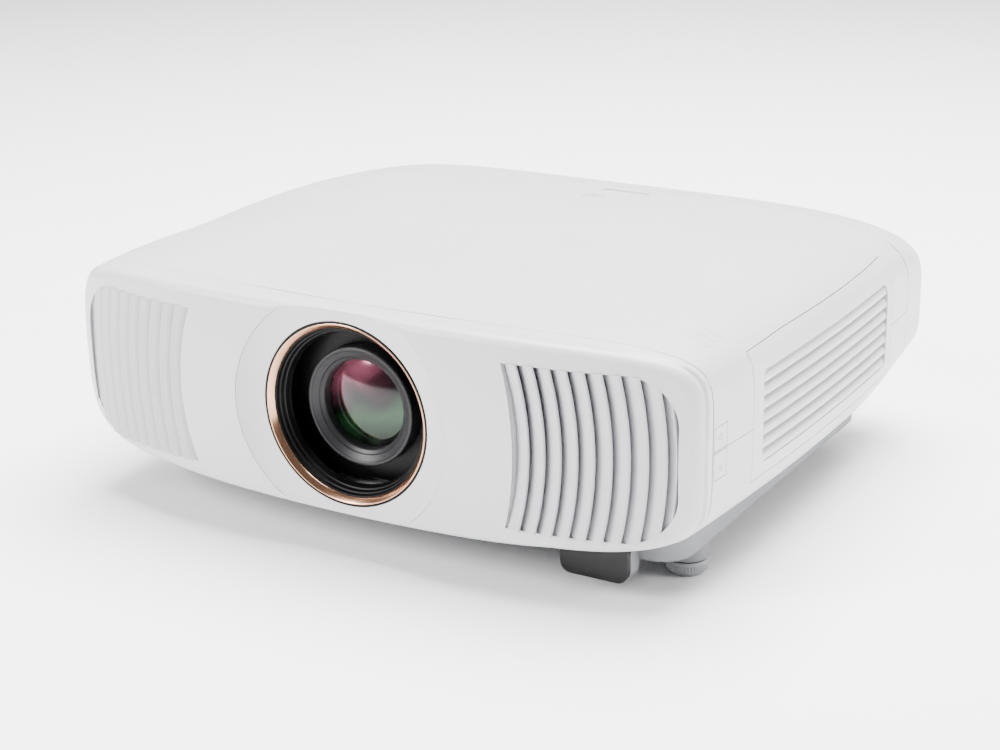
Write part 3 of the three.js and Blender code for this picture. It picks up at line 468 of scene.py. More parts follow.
def fillet(profile: Sequence[tuple], radius: float, steps: int = 4) -> list[tuple]:
    """Rounds the inner corners of a profile.

    Each corner is replaced by a quadratic curve that leaves it at the given distance on both sides.

    Args:
        profile: the points.
        radius: how far from each corner the curve starts.
        steps: points on each curve.
    Returns:
        The rounded profile.
    """
    points = np.array(profile, float)
    made = [tuple(points[0])]
    for before, corner, after in zip(points[:-2], points[1:-1], points[2:]):
        ends = []
        for other in (before, after):
            away = other - corner
            reach = np.linalg.norm(away)
            ends.append(corner + away / reach * min(radius, reach / 2.1))
        for t in np.linspace(0, 1, steps + 1):
            made.append(tuple((1 - t) ** 2 * ends[0] + 2 * t * (1 - t) * corner + t**2 * ends[1]))
    made.append(tuple(points[-1]))
    return made


def rounded_loop(low: Sequence[float], high: Sequence[float], radius: float, side: int = 10, corner: int = 6) -> np.ndarray:
    """A rounded rectangle, with the same number of points whatever its corner radius.

    Args:
        low: its lowest two coordinates.
        high: its highest two coordinates.
        radius: its corner radius.
        side: points along each side.
        corner: points round each corner.
    Returns:
        Points by 2.
    """
    (a0, b0), (a1, b1) = low, high
    parts = []
    for k, (a, b) in enumerate([(a1 - radius, b0 + radius), (a1 - radius, b1 - radius), (a0 + radius, b1 - radius), (a0 + radius, b0 + radius)]):
        angle = np.pi / 2 * (np.linspace(-1, 0, corner) + k)
        parts.append(np.stack([a + radius * np.cos(angle), b + radius * np.sin(angle)], axis=-1))
    made = []
    for k in range(4):
        start, end = parts[k][-1], parts[(k + 1) % 4][0]
        share = np.linspace(0, 1, side, endpoint=False)[1:, None]
        made += [parts[k], start + (end - start) * share]
    return np.concatenate(made)


def between(first: np.ndarray, last: np.ndarray, rows: int) -> np.ndarray:
    """Rows of points that run straight from one line of points to another."""
    share = np.linspace(0, 1, rows)[:, None, None]
    return first[None] * (1 - share) + last[None] * share


def by_length(points: np.ndarray, count: int) -> np.ndarray:
    """The same line of points, spaced evenly along its length.

    Args:
        points: points by 2.
        count: how many points the new line has.
    Returns:
        count by 2.
    """
    run = np.concatenate([[0], np.cumsum(np.linalg.norm(np.diff(points, axis=0), axis=1))])
    at = np.linspace(0, run[-1], count)
    return np.stack([np.interp(at, run, points[:, k]) for k in range(points.shape[1])], axis=-1)


# ---------------------------------------------------------------- the case's surface
def ease(t: np.ndarray) -> np.ndarray:
    """A smooth step from 0 to 1."""
    return t * t * (3 - 2 * t)


@dataclass(frozen=True)
class CaseForm:
    """The case's outer surface in millimetres, on which every shell, door and key lies.

    A section across the case is two half superellipses that meet at the waist; the covers part below it.
    """

    width: float = 520.0
    top: float = 190.0
    low: float = 38.0
    waist: float = 113.5
    parting: float = 109.5
    front: float = -223.5
    rear: float = 223.5
    crown: float = 20.0
    front_seam: float = -197.8
    rear_seam: float = 168.5
    seam_bow: float = 18.0
    seam_turn: float = 10.0
    chin: float = 6.0
    chin_width: float = 310.0
    tub_front: float = -169.5
    bow: float = 43.0
    bulge: float = 2.7
    corner_r: float = 22.0
    top_r: float = 30.0
    low_r: float = 14.0
    front_taper: float = 11.0
    rear_taper: float = 7.0
    front_fall: float = 11.0
    rear_fall: float = 15.0
    rear_lift: float = 20.0
    upper_power_front: float = 6.2
    upper_power_drop: float = 2.0
    power_run: float = 149.0
    lower_power: float = 6.0
    gap: float = 0.45

    def rear_round(self, y: np.ndarray, radius: float) -> np.ndarray:
        """How far a rear edge of this radius has come in: the radius less the rest of a quarter circle."""
        into = np.clip((y - (self.rear - radius)) / radius, 0, 1)
        return radius * (1 - np.sqrt(1 - into**2))

    def half_width(self, y: np.ndarray) -> np.ndarray:
        """Half the width: it tapers with the square of the distance from the crown."""
        behind = y - self.crown
        ahead = self.front_taper * (behind / (self.crown - self.front_seam)) ** 2
        back = self.rear_taper * (behind / (self.rear - self.crown)) ** 2
        return self.width / 2 - np.where(behind < 0, ahead, back) - self.rear_round(y, self.corner_r)

    def top_height(self, y: np.ndarray) -> np.ndarray:
        """The top's height: it falls with the square of the distance from the crown."""
        behind = y - self.crown
        ahead = self.front_fall * (behind / (self.crown - self.front_seam)) ** 2
        back = self.rear_fall * (behind / (self.rear - self.top_r - self.crown)) ** 2
        return self.top - np.where(behind < 0, ahead, back) - self.rear_round(y, self.top_r)

    def low_height(self, y: np.ndarray) -> np.ndarray:
        """The belly's height: level, then a smooth step up at the rear and a rounded edge."""
        t = np.clip((y - self.rear / 3) / (self.rear * 2 / 3), 0, 1)
        return self.low + self.rear_lift * ease(t) + self.rear_round(y, self.low_r)

    def upper_power(self, y: np.ndarray) -> np.ndarray:
        """The upper half's power: nearly square at the front panel, rounder behind."""
        t = np.clip((y - self.front_seam) / self.power_run, 0, 1)
        return self.upper_power_front - self.upper_power_drop * ease(t)

    def chin_drop(self, x: np.ndarray, y: np.ndarray) -> np.ndarray:
        """How far the lower edge hangs down below the lens: a parabola across, gone where the tub begins."""
        t = np.clip((y - self.front_seam) / (self.tub_front - self.front_seam), 0, 1)
        return self.chin * (1 - ease(t)) * np.clip(1 - (2 * x / self.chin_width) ** 2, 0, None)

    def side(self, y: np.ndarray, z: np.ndarray) -> np.ndarray:
        """The surface's x at a height: width times (1 - height share to the power) to the inverse power."""
        upper = z >= self.waist
        height = np.where(upper, self.top_height(y) - self.waist, self.waist - self.low_height(y))
        power = np.where(upper, self.upper_power(y), self.lower_power)
        share = np.clip(np.abs(z - self.waist) / height, 0, 1)
        return self.half_width(y) * (1 - share**power) ** (1 / power)

    def over(self, x: np.ndarray, y: np.ndarray, upper: bool = True) -> np.ndarray:
        """The surface's height at a place across it, on the top or on the belly."""
        height = self.top_height(y) - self.waist if upper else self.waist - self.low_height(y)
        power = self.upper_power(y) if upper else self.lower_power
        share = np.clip(np.abs(x) / self.half_width(y), 0, 1)
        rise = (1 - share**power) ** (1 / power)
        drop = 0.0 if upper else self.chin_drop(x, y) * rise
        return self.waist + (1 if upper else -1) * height * rise - drop

    def at_angle(self, y: np.ndarray, angle: np.ndarray) -> np.ndarray:
        """Points of the right half of a section by angle: cosine and sine to the power of 2 over the section's power."""
        upper = angle >= 0
        power = np.where(upper, self.upper_power(y), self.lower_power)
        height = np.where(upper, self.top_height(y) - self.waist, self.waist - self.low_height(y))
        across = np.clip(np.cos(angle), 0, 1) ** (2 / power)
        up = np.abs(np.sin(angle)) ** (2 / power)
        x = self.half_width(y) * across
        drop = np.where(upper, 0.0, self.chin_drop(x, y) * up)
        return np.stack([x, y + 0 * angle, self.waist + np.sign(angle) * height * up - drop], axis=-1)

    def on_side(self, lift: float = 0.0) -> Callable[[np.ndarray], np.ndarray]:
        """A map from (y, z) on the right flank to the surface, raised by so much."""
        return lambda at: np.stack([self.side(at[..., 0], at[..., 1]) + lift, at[..., 0], at[..., 1]], axis=-1)

    def on_top(self, lift: float = 0.0) -> Callable[[np.ndarray], np.ndarray]:
        """A map from (x, y) on the top to the surface, raised by so much."""
        return lambda at: np.stack([at[..., 0], at[..., 1], self.over(at[..., 0], at[..., 1]) + lift], axis=-1)

    def seam(self, x: np.ndarray) -> np.ndarray:
        """Where the front panel meets the covers: a parabola that turns back faster at the sides."""
        share = x / (self.width / 2)
        return self.front_seam + self.seam_bow * share**2 + self.seam_turn * share**8

    def face(self, x: np.ndarray, z: np.ndarray) -> np.ndarray:
        """The front panel's y: a fourth-power bow across, and a parabola from top to bottom."""
        return self.front + self.bow * (np.abs(x) * 2 / self.width) ** 4 + self.bulge * ((z - self.waist) / 50) ** 2


CASE = CaseForm()


@dataclass
class Shells:
    """The top cover, the lower tray with its tub, and the rear cover."""

    wall: float = 2.5
    edge: float = 0.3
    tub_low: float = 24.0
    tub_half: float = 228.0
    tub_rear: float = 155.5
    tub_r: float = 24.0
    tub_edge: float = 4.0

    def flank_levels(self) -> tuple[np.ndarray, np.ndarray]:
        """Heights of the grid's lines on the flank, below and above the parting line."""
        door_low, door_high = span("filter_door")
        source_low = span("source_button")[0][2]
        power_high = span("power_button")[1][2]
        gap = CASE.gap
        below = [door_low[2] - gap, 78, 84.5, source_low - gap, 98, 105.5, CASE.parting - 1 + gap - 0.2, CASE.parting - gap / 2]
        above = [CASE.parting + gap / 2, CASE.parting + 1 - gap + 0.2, 120.5, power_high + gap, 135, 144, 153, door_high[2] + gap]
        return np.array(below), np.array(above)

    def stations(self) -> np.ndarray:
        """Places along the case of the grid's lines, with every opening's edges among them."""
        door, keys = span("filter_door"), span("power_button")
        gap = CASE.gap
        marks = [
            [keys[0][1] - gap, keys[1][1] + gap], np.arange(-146, door[0][1] - 6, 9.0), [door[0][1] - gap],
            np.arange(door[0][1] + 9, door[1][1] - 6, 11.0), [door[1][1] + gap],
            np.arange(door[1][1] + 9, CASE.rear_seam - 5, 8.0), [CASE.rear_seam - gap / 2],
        ]
        return np.concatenate(marks)

    def rows(self, levels: Callable[[np.ndarray], np.ndarray]) -> np.ndarray:
        """Carries a line of section points along the case, from the bowed seam to the rear seam.

        Args:
            levels: gives the section's points at these places along the case, one for each point.
        Returns:
            Rows by points by 3.
        """
        fixed = self.stations()
        lines = [levels(np.array(y)) for y in fixed]
        first = levels(np.array(CASE.front_seam))
        for _ in range(4):
            first = levels(CASE.seam(first[:, 0]) + CASE.gap / 2)
        lead = []
        for share in (0.0, 0.3, 0.6, 0.85):
            y = first[:, 1] * (1 - share) + fixed[0] * share
            lead.append(levels(y))
        return np.stack(lead + lines)

    def flank(self, z: np.ndarray) -> Callable[[np.ndarray], np.ndarray]:
        """Section points at fixed heights on the flank."""
        return lambda y: np.stack([CASE.side(y, z), y + 0 * z, z], axis=-1)

    def roll(self, level: float, upper: bool, steps: int = 26) -> Callable[[np.ndarray], np.ndarray]:
        """Section points from a height on the flank over the edge to the middle of the top or belly."""
        share = np.linspace(0, 1, steps) ** 1.15

        def points(y: np.ndarray) -> np.ndarray:
            """Angles run evenly from the level's own angle to a right angle."""
            height = CASE.top_height(y) - CASE.waist if upper else CASE.waist - CASE.low_height(y)
            power = CASE.upper_power(y) if upper else CASE.lower_power
            start = np.arcsin(np.clip((abs(level - CASE.waist) / height) ** (power / 2), 0, 1))
            angle = start + (np.pi / 2 - start) * share
            return CASE.at_angle(y + 0 * angle, angle if upper else -angle)

        return points

    def opened(self, grid: np.ndarray) -> np.ndarray:
        """Which faces of a flank grid lie outside the door and the keys."""
        centre = (grid[:-1, :-1] + grid[1:, 1:]) / 2
        keep = np.ones(centre.shape[:2], bool)
        for node in ("filter_door", "power_button", "source_button"):
            low, high = span(node)
            y, z = centre[..., 1], centre[..., 2]
            inside = (y > low[1] - CASE.gap) & (y < high[1] + CASE.gap) & (z > low[2] - CASE.gap) & (z < high[2] + CASE.gap)
            keep &= ~inside
        return keep

    def half(self, upper: bool, holes: bool) -> Shape:
        """One quarter of the covers: a flank and its roll, on the right side."""
        below, above = self.flank_levels()
        z = above if upper else below[::-1]
        flank = self.rows(self.flank(z))
        shape = Shape().patch(flank, keep=self.opened(flank) if holes else None)
        return shape.patch(self.rows(self.roll(z[-1], upper)))

    def both(self, upper: bool) -> Shape:
        """The right half with its openings, and a whole left half."""
        whole, other = self.half(upper, True), self.half(upper, False)
        for points, faces in zip(other.points, other.faces):
            whole.points.append(points * np.array([-1.0, 1.0, 1.0]))
            whole.faces.append(faces + whole.count)
        whole.count += other.count
        return whole

    def latch_hole(self) -> Shape:
        """A rounded well through the top behind the crown, for the rear cover's latch."""
        low, high = span("rear_cover_latch")
        loop = rounded_loop(low[:2] - 0.35, high[:2] + 0.35, 3.9)
        rows = [np.column_stack([loop, np.full(len(loop), z)]) for z in (low[2] - 12, high[2] + 12)]
        return Shape().patch(np.stack(rows), loop=True)

    def build_top(self) -> None:
        """The top cover, cut for the latch."""
        self.both(True).build(
            "top_cover_shell", WHITE_ABS, stands_for=["top_cover"], inside=(0, 0, 60), wall=self.wall,
            bevel=self.edge, cuts=[self.latch_hole()],
        )

    def tub_profile(self) -> list[tuple]:
        """The tub's wall from inside the belly down round its lower edge: [how far in, height]."""
        r = self.tub_edge
        arc = [(r * (1 - math.cos(a)), self.tub_low + r * (1 - math.sin(a))) for a in np.linspace(0, math.pi / 2, 6)]
        return [(-1.5, 52.0), (0.0, 40.0), (0.0, 34.0)] + arc + [(14.0, self.tub_low), (40.0, self.tub_low), (80.0, self.tub_low)]

    def build_tray(self) -> None:
        """The lower tray: its flanks and belly, then the tub under it."""
        self.both(False).build(
            "lower_tray_shell", WHITE_ABS, stands_for=["bottom_case"], inside=(0, 0, 110), wall=self.wall, bevel=self.edge,
        )
        rows = []
        for inset, z in self.tub_profile():
            low = (-self.tub_half + inset, CASE.tub_front + inset)
            high = (self.tub_half - inset, self.tub_rear - inset)
            loop = rounded_loop(low, high, max(self.tub_r - inset, 0.5), 24, 10)
            rows.append(np.column_stack([loop, np.full(len(loop), z)]))
        # The tub's grey is painted shade under the case.
        Shape().patch(np.stack(rows), loop=True).build("lower_tray_tub", GREY_ABS_PAINTED_SHADE, inside=(0, -7, 60))
        self.build_floor(rows[-1])

    def build_floor(self, rim: np.ndarray) -> None:
        """The tub's level floor."""
        loop = rim[:, :2]
        inner = loop * 0.02
        floor = between(loop, inner, 14)
        grid = np.concatenate([floor, np.full(floor.shape[:2] + (1,), self.tub_low)], axis=-1)
        # The floor's grey is painted shade under the case.
        Shape().patch(grid, loop=True).build("lower_tray_floor", GREY_ABS_PAINTED_SHADE, inside=(0, -7, 60), capped=True)

    def build_rear(self) -> None:
        """The rear cover: sections shrink round the rear edges, and the recess is cut through its back."""
        seam = CASE.rear_seam + CASE.gap / 2
        start = CASE.rear - CASE.top_r
        bend = start + CASE.top_r * np.sin(np.linspace(0, np.pi / 2, 22))
        y = np.concatenate([[seam, (seam + start) / 2], bend])
        share = np.linspace(-1, 1, 97)
        angle = np.pi / 2 * share
        right = CASE.at_angle(y[:, None], angle[None, :])
        shape = Shape().patch(right)
        last = right[-1]
        cap = np.stack([last * np.array([k, 1, 1]) for k in (1.0, 0.75, 0.5, 0.25, 0.0)])
        shape.patch(cap).mirrored()
        low, high = span("io_panel")
        loop = rounded_loop((low[0] - 0.35, low[2] - 0.35), (high[0] + 0.35, high[2] + 0.35), 3.0)
        back = middle("io_panel")[1]
        rows = [np.column_stack([loop[:, 0], np.full(len(loop), at), loop[:, 1]]) for at in (back - 2, CASE.rear + 30)]
        cover = shape.build(
            "rear_cover_shell", WHITE_ABS, stands_for=["rear_cover"], inside=(0, 0, 100), wall=self.wall,
            bevel=self.edge, cuts=[Shape().patch(np.stack(rows), loop=True)],
        )
        LOG.info("%s cut for the connector recess", cover.name)
        depth = [np.column_stack([loop[:, 0], np.minimum(self.behind(loop), CASE.rear) - 1.4, loop[:, 1]])]
        depth.append(np.column_stack([loop[:, 0], np.full(len(loop), low[1]), loop[:, 1]]))
        Shape().patch(between(depth[0], depth[1], 5), loop=True).build(
            "connector_recess_wall", WHITE_ABS, inside=(0, back, 400), wall=1.2,
        )

    def behind(self, at: np.ndarray) -> np.ndarray:
        """Where the rear surface stands at these (x, z) points, found by halving."""
        low, high = np.full(len(at), 160.0), np.full(len(at), CASE.rear)
        for _ in range(24):
            mid = (low + high) / 2
            inside = (CASE.over(at[:, 0], mid) > at[:, 1]) & (CASE.half_width(mid) > np.abs(at[:, 0]))
            low, high = np.where(inside, mid, low), np.where(inside, high, mid)
        return low


@dataclass
class Fascia:
    """The bowed front panel with its rounded edge, the dish round the lens, and the two grille openings."""

    edge_r: float = 6.0
    wall: float = 2.5
    lens_z: float = 105.0
    dish_r: float = 84.3
    dish_inner: float = 65.4
    split_x: float = 108.0
    arc_points: int = 41
    face_rows: int = 11
    loop_points: int = 150

    def __post_init__(self) -> None:
        """The outline's half width and heights, from the case's section at the seam."""
        self.half = float(CASE.half_width(np.array(CASE.front_seam)))
        self.up = float(CASE.top_height(np.array(CASE.front_seam))) - CASE.waist
        self.down = CASE.waist - CASE.low
        self.up_power = float(CASE.upper_power(np.array(CASE.front_seam)))
        self.ring_y = span("lens_trim_ring")[0][1] + 0.4

    def limit(self, x: np.ndarray, inset: float, upper: bool) -> np.ndarray:
        """The outline's height at x, set in by so much."""
        height, power = (self.up, self.up_power) if upper else (self.down, CASE.lower_power)
        share = np.clip(np.abs(x) / (self.half - inset), 0, 1)
        rise = (1 - share**power) ** (1 / power)
        drop = 0.0 if upper else CASE.chin_drop(x, np.array(CASE.front_seam)) * rise
        return CASE.waist + (1 if upper else -1) * (height - inset) * rise - drop

    def chord(self, upper: bool) -> float:
        """Where the dish's circle meets the edge rounding."""
        x = 50.0
        for _ in range(8):
            rise = float(self.limit(np.array(x), self.edge_r, upper)) - self.lens_z
            x = math.sqrt(max(self.dish_r**2 - rise**2, 1.0))
        return x

    def dish_y(self, x: np.ndarray, z: np.ndarray) -> np.ndarray:
        """The dish's depth: from the panel's face at its rim to the trim ring, a little hollow between."""
        away = np.maximum(np.hypot(x, z - self.lens_z), 1e-6)
        rim_x, rim_z = x / away * self.dish_r, self.lens_z + (z - self.lens_z) / away * self.dish_r
        t = np.clip((self.dish_r - away) / (self.dish_r - self.dish_inner), 0, 1)
        t = t + 0.43 * t * (1 - t)
        return CASE.face(rim_x, rim_z) * (1 - t) + self.ring_y * t

    def edge_angles(self) -> tuple[np.ndarray, np.ndarray]:
        """Angles round the outline from the top middle to the bottom middle, and which bound the grille's patch."""
        wide = self.half - self.edge_r
        rows = np.linspace(0, 1, self.face_rows)
        marks = []
        for upper, power in ((True, self.up_power), (False, CASE.lower_power)):
            chord = self.chord(upper)
            x = np.concatenate([np.linspace(0, chord, 10)[:-1], chord + (self.split_x - chord) * rows])
            marks.append(np.arccos((x / wide) ** (power / 2)))
        dense = np.concatenate([np.linspace(marks[0][-1], 0, 1500), np.linspace(0, -marks[1][-1], 1500)[1:]])
        line = self.outline(dense, self.edge_r)
        run = np.concatenate([[0], np.cumsum(np.hypot(*np.diff(line, axis=0).T))])
        around = np.interp(np.linspace(0, run[-1], self.loop_points), run, dense)
        around[0], around[-1] = marks[0][-1], -marks[1][-1]
        return np.concatenate([marks[0][:-1], around, -marks[1][:-1][::-1]]), around

    def outline(self, angle: np.ndarray, inset: float) -> np.ndarray:
        """The outline by angle, set in by so much, as (x, z)."""
        upper = angle >= 0
        power = np.where(upper, self.up_power, CASE.lower_power)
        height = np.where(upper, self.up, self.down) - inset
        x = (self.half - inset) * np.clip(np.cos(angle), 0, 1) ** (2 / power)
        rise = np.abs(np.sin(angle)) ** (2 / power)
        drop = np.where(upper, 0.0, CASE.chin_drop(x, np.array(CASE.front_seam)) * rise)
        return np.stack([x, CASE.waist + np.sign(angle) * height * rise - drop], axis=-1)

    def lifted(self, flat: np.ndarray) -> np.ndarray:
        """Points (x, z) raised onto the panel's face."""
        x, z = flat[..., 0], flat[..., 1]
        return np.stack([x, CASE.face(x, z), z], axis=-1)

    def grille_loop(self) -> np.ndarray:
        """The grille opening: its inner arc from bottom to top, then round its outer side."""
        return Grille.opening(0.0, self.arc_points, self.loop_points)

    def clear(self, points: np.ndarray) -> np.ndarray:
        """Pushes points that fall inside the dish onto it, and out to the trim ring's edge."""
        x, y, z = points[..., 0], points[..., 1], points[..., 2]
        away = np.hypot(x, z - self.lens_z)
        out = np.where(away < self.dish_inner, self.dish_inner / np.maximum(away, 1.0), 1.0)
        x, z = x * out, self.lens_z + (z - self.lens_z) * out
        within = away < self.dish_r - 0.01
        return np.stack([x, np.where(within, np.maximum(y, self.dish_y(x, z)), y), z], axis=-1)

    def edge_rows(self) -> np.ndarray:
        """The rounded edge and the band behind it, as far as the seam."""
        angle, _ = self.edge_angles()
        rows = []
        for turn in np.linspace(0, np.pi / 2, 8):
            flat = self.outline(angle, self.edge_r * (1 - math.sin(turn)))
            raised = self.lifted(flat)
            raised[:, 1] += self.edge_r * (1 - math.cos(turn))
            rows.append(self.clear(raised))
        edge = rows[-1]
        seam = CASE.seam(edge[:, 0]) - CASE.gap / 2
        for share in (0.25, 0.5, 0.75, 1.0):
            y = edge[:, 1] * (1 - share) + seam * share
            flush = CASE.at_angle(np.maximum(y, CASE.front_seam), angle)
            flush[:, 1] = y
            rows.append(flush)
        return np.stack(rows)

    def inner_patch(self) -> np.ndarray:
        """From the dish's rim out to the line beside the grille."""
        ends = []
        for upper in (False, True):
            x = self.chord(upper)
            ends.append(math.atan2(float(self.limit(np.array(x), self.edge_r, upper)) - self.lens_z, x))
        angle = np.linspace(ends[0], ends[1], self.arc_points)
        arc_x, arc_z = self.dish_r * np.cos(angle), self.lens_z + self.dish_r * np.sin(angle)

        def share_up(x: np.ndarray, z: np.ndarray) -> np.ndarray:
            """How far up between the outline's two limits a point stands."""
            low, high = self.limit(x, self.edge_r, False), self.limit(x, self.edge_r, True)
            return (z - low) / (high - low)

        start = share_up(arc_x, arc_z)
        start[0], start[-1] = 0.0, 1.0
        end = self.line_shares()
        s = np.linspace(0, 1, self.face_rows)[:, None]
        x = arc_x[None] * (1 - s) + self.split_x * s
        tau = start[None] * (1 - s) + end[None] * s
        low, high = self.limit(x, self.edge_r, False), self.limit(x, self.edge_r, True)
        return self.lifted(np.stack([x, low + tau * (high - low)], axis=-1))

    def line_shares(self) -> np.ndarray:
        """How the points on the line beside the grille are spaced, from the bottom up."""
        return np.linspace(0, 1, self.arc_points)

    def outer_patch(self) -> np.ndarray:
        """From the line and the outline in to the grille's opening."""
        _, around = self.edge_angles()
        x = np.full(self.arc_points, self.split_x)
        low, high = self.limit(x, self.edge_r, False), self.limit(x, self.edge_r, True)
        line = np.stack([x, low + self.line_shares() * (high - low)], axis=-1)
        rim = np.concatenate([line, self.outline(around, self.edge_r)[1:-1]])
        return self.lifted(between(rim, self.grille_loop(), 10))

    def build_panel(self) -> None:
        """The front panel."""
        shape = Shape().patch(self.inner_patch()).patch(self.outer_patch(), loop=True).patch(self.edge_rows()).mirrored()
        shape.build(
            "front_panel_shell", WHITE_ABS, stands_for=["front_panel"], inside=(0, 0, 105), wall=self.wall, bevel=0.35,
        )

    def build_dish(self) -> None:
        """The dish: rows of rings from the trim ring out to the rim, cut off level at the top and bottom."""
        angle = np.linspace(0, 2 * np.pi, 240, endpoint=False)
        reach = np.full(angle.shape, self.dish_r - 0.35)
        for _ in range(12):
            x = reach * np.cos(angle)
            up = np.sin(angle) > 0
            edge = np.where(up, self.limit(x, self.edge_r * 0.55, True), self.limit(x, self.edge_r * 0.55, False))
            level = (edge - self.lens_z) / np.where(np.abs(np.sin(angle)) < 0.3, 9e9, np.sin(angle))
            reach = np.where(np.abs(np.sin(angle)) < 0.3, reach, np.minimum(self.dish_r - 0.35, level))
        reach = np.maximum(reach, self.dish_inner + 0.2)
        share = np.linspace(0, 1, 12)[:, None]
        radius = self.dish_inner * (1 - share) + reach[None] * share
        x, z = radius * np.cos(angle), self.lens_z + radius * np.sin(angle)
        y = self.dish_y(x, z) + 0.12 * share
        Shape().patch(np.stack([x, y, z], axis=-1), loop=True).build(
            "lens_dish_moulding", WHITE_ABS, stands_for=["lens_dish"], inside=(0, 0, 105), wall=2.0, bevel=0.25,
        )


@dataclass
class Grille:
    """One exhaust grille: curved slats that lean outwards, in a short duct."""

    side: Side
    slats: int = 10
    pitch: float = 10.8
    lean: float = 13.0
    depth: float = 9.6

    centre_x = -60.0
    centre_z = 105.0
    inner_x = 133.0
    outer_x = 237.0
    low = 50.0
    high = 163.5
    corner_r = 34.0

    @classmethod
    def opening(cls, inset: float, arc_points: int, loop_points: int) -> np.ndarray:
        """The opening's outline, set in by so much: the inner arc upwards, then the top, outer side and bottom.

        Args:
            inset: how far in the outline stands.
            arc_points: points on the inner arc.
            loop_points: points on the rest.
        Returns:
            Points by 2.
        """
        low, high, out, r = cls.low + inset, cls.high - inset, cls.outer_x - inset, cls.corner_r - inset
        radius = cls.inner_x - cls.centre_x + inset
        ends = [math.asin((z - cls.centre_z) / radius) for z in (low, high)]
        angle = np.linspace(ends[0], ends[1], arc_points)
        arc = np.stack([cls.centre_x + radius * np.cos(angle), cls.centre_z + radius * np.sin(angle)], axis=-1)
        turn = np.linspace(np.pi / 2, 0, 40)
        top = np.stack([out - r + r * np.cos(turn), high - r + r * np.sin(turn)], axis=-1)
        bottom = np.stack([out - r + r * np.cos(turn[::-1]), low + r - r * np.sin(turn[::-1])], axis=-1)
        rest = by_length(np.concatenate([arc[-1:], top, bottom, arc[:1]]), loop_points)
        return np.concatenate([arc, rest[1:-1]])

    def reaches(self, radius: np.ndarray) -> tuple[np.ndarray, np.ndarray]:
        """The angles at which arcs of these radii leave the opening, below and above."""
        turn = np.linspace(0, 0.5, 900)
        found = []
        for up in (-1, 1):
            x = self.centre_x + radius[:, None] * np.cos(turn)
            z = self.centre_z + up * radius[:, None] * np.sin(turn)
            corner_x = self.outer_x - self.corner_r
            edge = self.high if up > 0 else self.low
            corner_z = edge - up * self.corner_r
            beyond = np.hypot(np.maximum(x - corner_x, 0), np.maximum(up * (z - corner_z), 0)) > self.corner_r
            out = (up * (z - edge) > 0) | ((up * (z - corner_z) > 0) & beyond) | (x > self.outer_x)
            found.append(up * turn[np.argmax(out, axis=1)])
        return found[0], found[1]

    def slat_section(self) -> np.ndarray:
        """A slat's section: [across, back] points. Its face curves from deep inside out to a rounded front edge."""
        t = np.linspace(0, 1, 11)
        face = np.stack([-self.lean * (1 - t) - 2.3, 0.9 + self.depth * (1 - t) ** 1.55], axis=-1)
        nose = [(-1.5, 0.35), (-0.8, 0.1), (-0.25, 0.3), (0.0, 0.9), (0.05, 2.0)]
        back = np.stack([-self.lean * t**1.1, 2.6 + self.depth * t], axis=-1)[1:]
        return np.concatenate([face, nose, back])

    def slat(self, number: int) -> np.ndarray:
        """One slat: its section carried round an arc, each point as far as the duct's wall."""
        section = self.slat_section()
        radius = self.inner_x - self.centre_x + self.pitch * (number + 1) + section[:, 0]
        radius = np.minimum(radius, self.outer_x - self.centre_x - 0.8)
        low, high = self.reaches(radius)
        share = np.linspace(0, 1, 25)[:, None]
        angle = low[None] * (1 - share) + high[None] * share
        x = self.centre_x + radius[None] * np.cos(angle)
        z = self.centre_z + radius[None] * np.sin(angle)
        y = CASE.face(x, np.full_like(x, self.centre_z)) + 0.6 + section[None, :, 1]
        return np.stack([x * self.side.value, y, z], axis=-1)

    def build(self) -> None:
        """The duct, the slats and the two thin tie bars behind them."""
        name = self.side.name.lower()
        loop = self.opening(0.3, 41, 150)
        rows = []
        for back in (0.5, 4.0, 9.0, 15.5):
            face = CASE.face(loop[:, 0], loop[:, 1])
            rows.append(np.column_stack([loop[:, 0] * self.side.value, face + back, loop[:, 1]]))
        hub = (185 * self.side.value, -500, 105)
        # The duct, slats and tie bars take the slightly darker painted shade of the grille's recess.
        duct = Shape().patch(np.stack(rows), loop=True)
        duct.build(f"grille_{name}_duct", SLAT_ABS_PAINTED_SHADE, stands_for=[f"grille_{name}"], inside=hub)
        slats = Shape()
        for number in range(self.slats):
            slats.patch(self.slat(number), loop=True)
        slats.build(f"grille_{name}_slats", SLAT_ABS_PAINTED_SHADE, capped=True)
        bars = Shape()
        for third in (1, 2):
            z = self.low + (self.high - self.low) * third / 3
            x = np.linspace(self.inner_x + 2, self.outer_x, 24)
            ring = [(0, -0.8), (0, 0.8), (4, 0.8), (4, -0.8)]
            points = [np.stack([x * self.side.value, CASE.face(x, x * 0 + 105) + 11.4 + d, x * 0 + z + h], axis=-1) for d, h in ring]
            bars.patch(np.stack(points, axis=1), loop=True)
        bars.build(f"grille_{name}_tie_bars", SLAT_ABS_PAINTED_SHADE, capped=True)


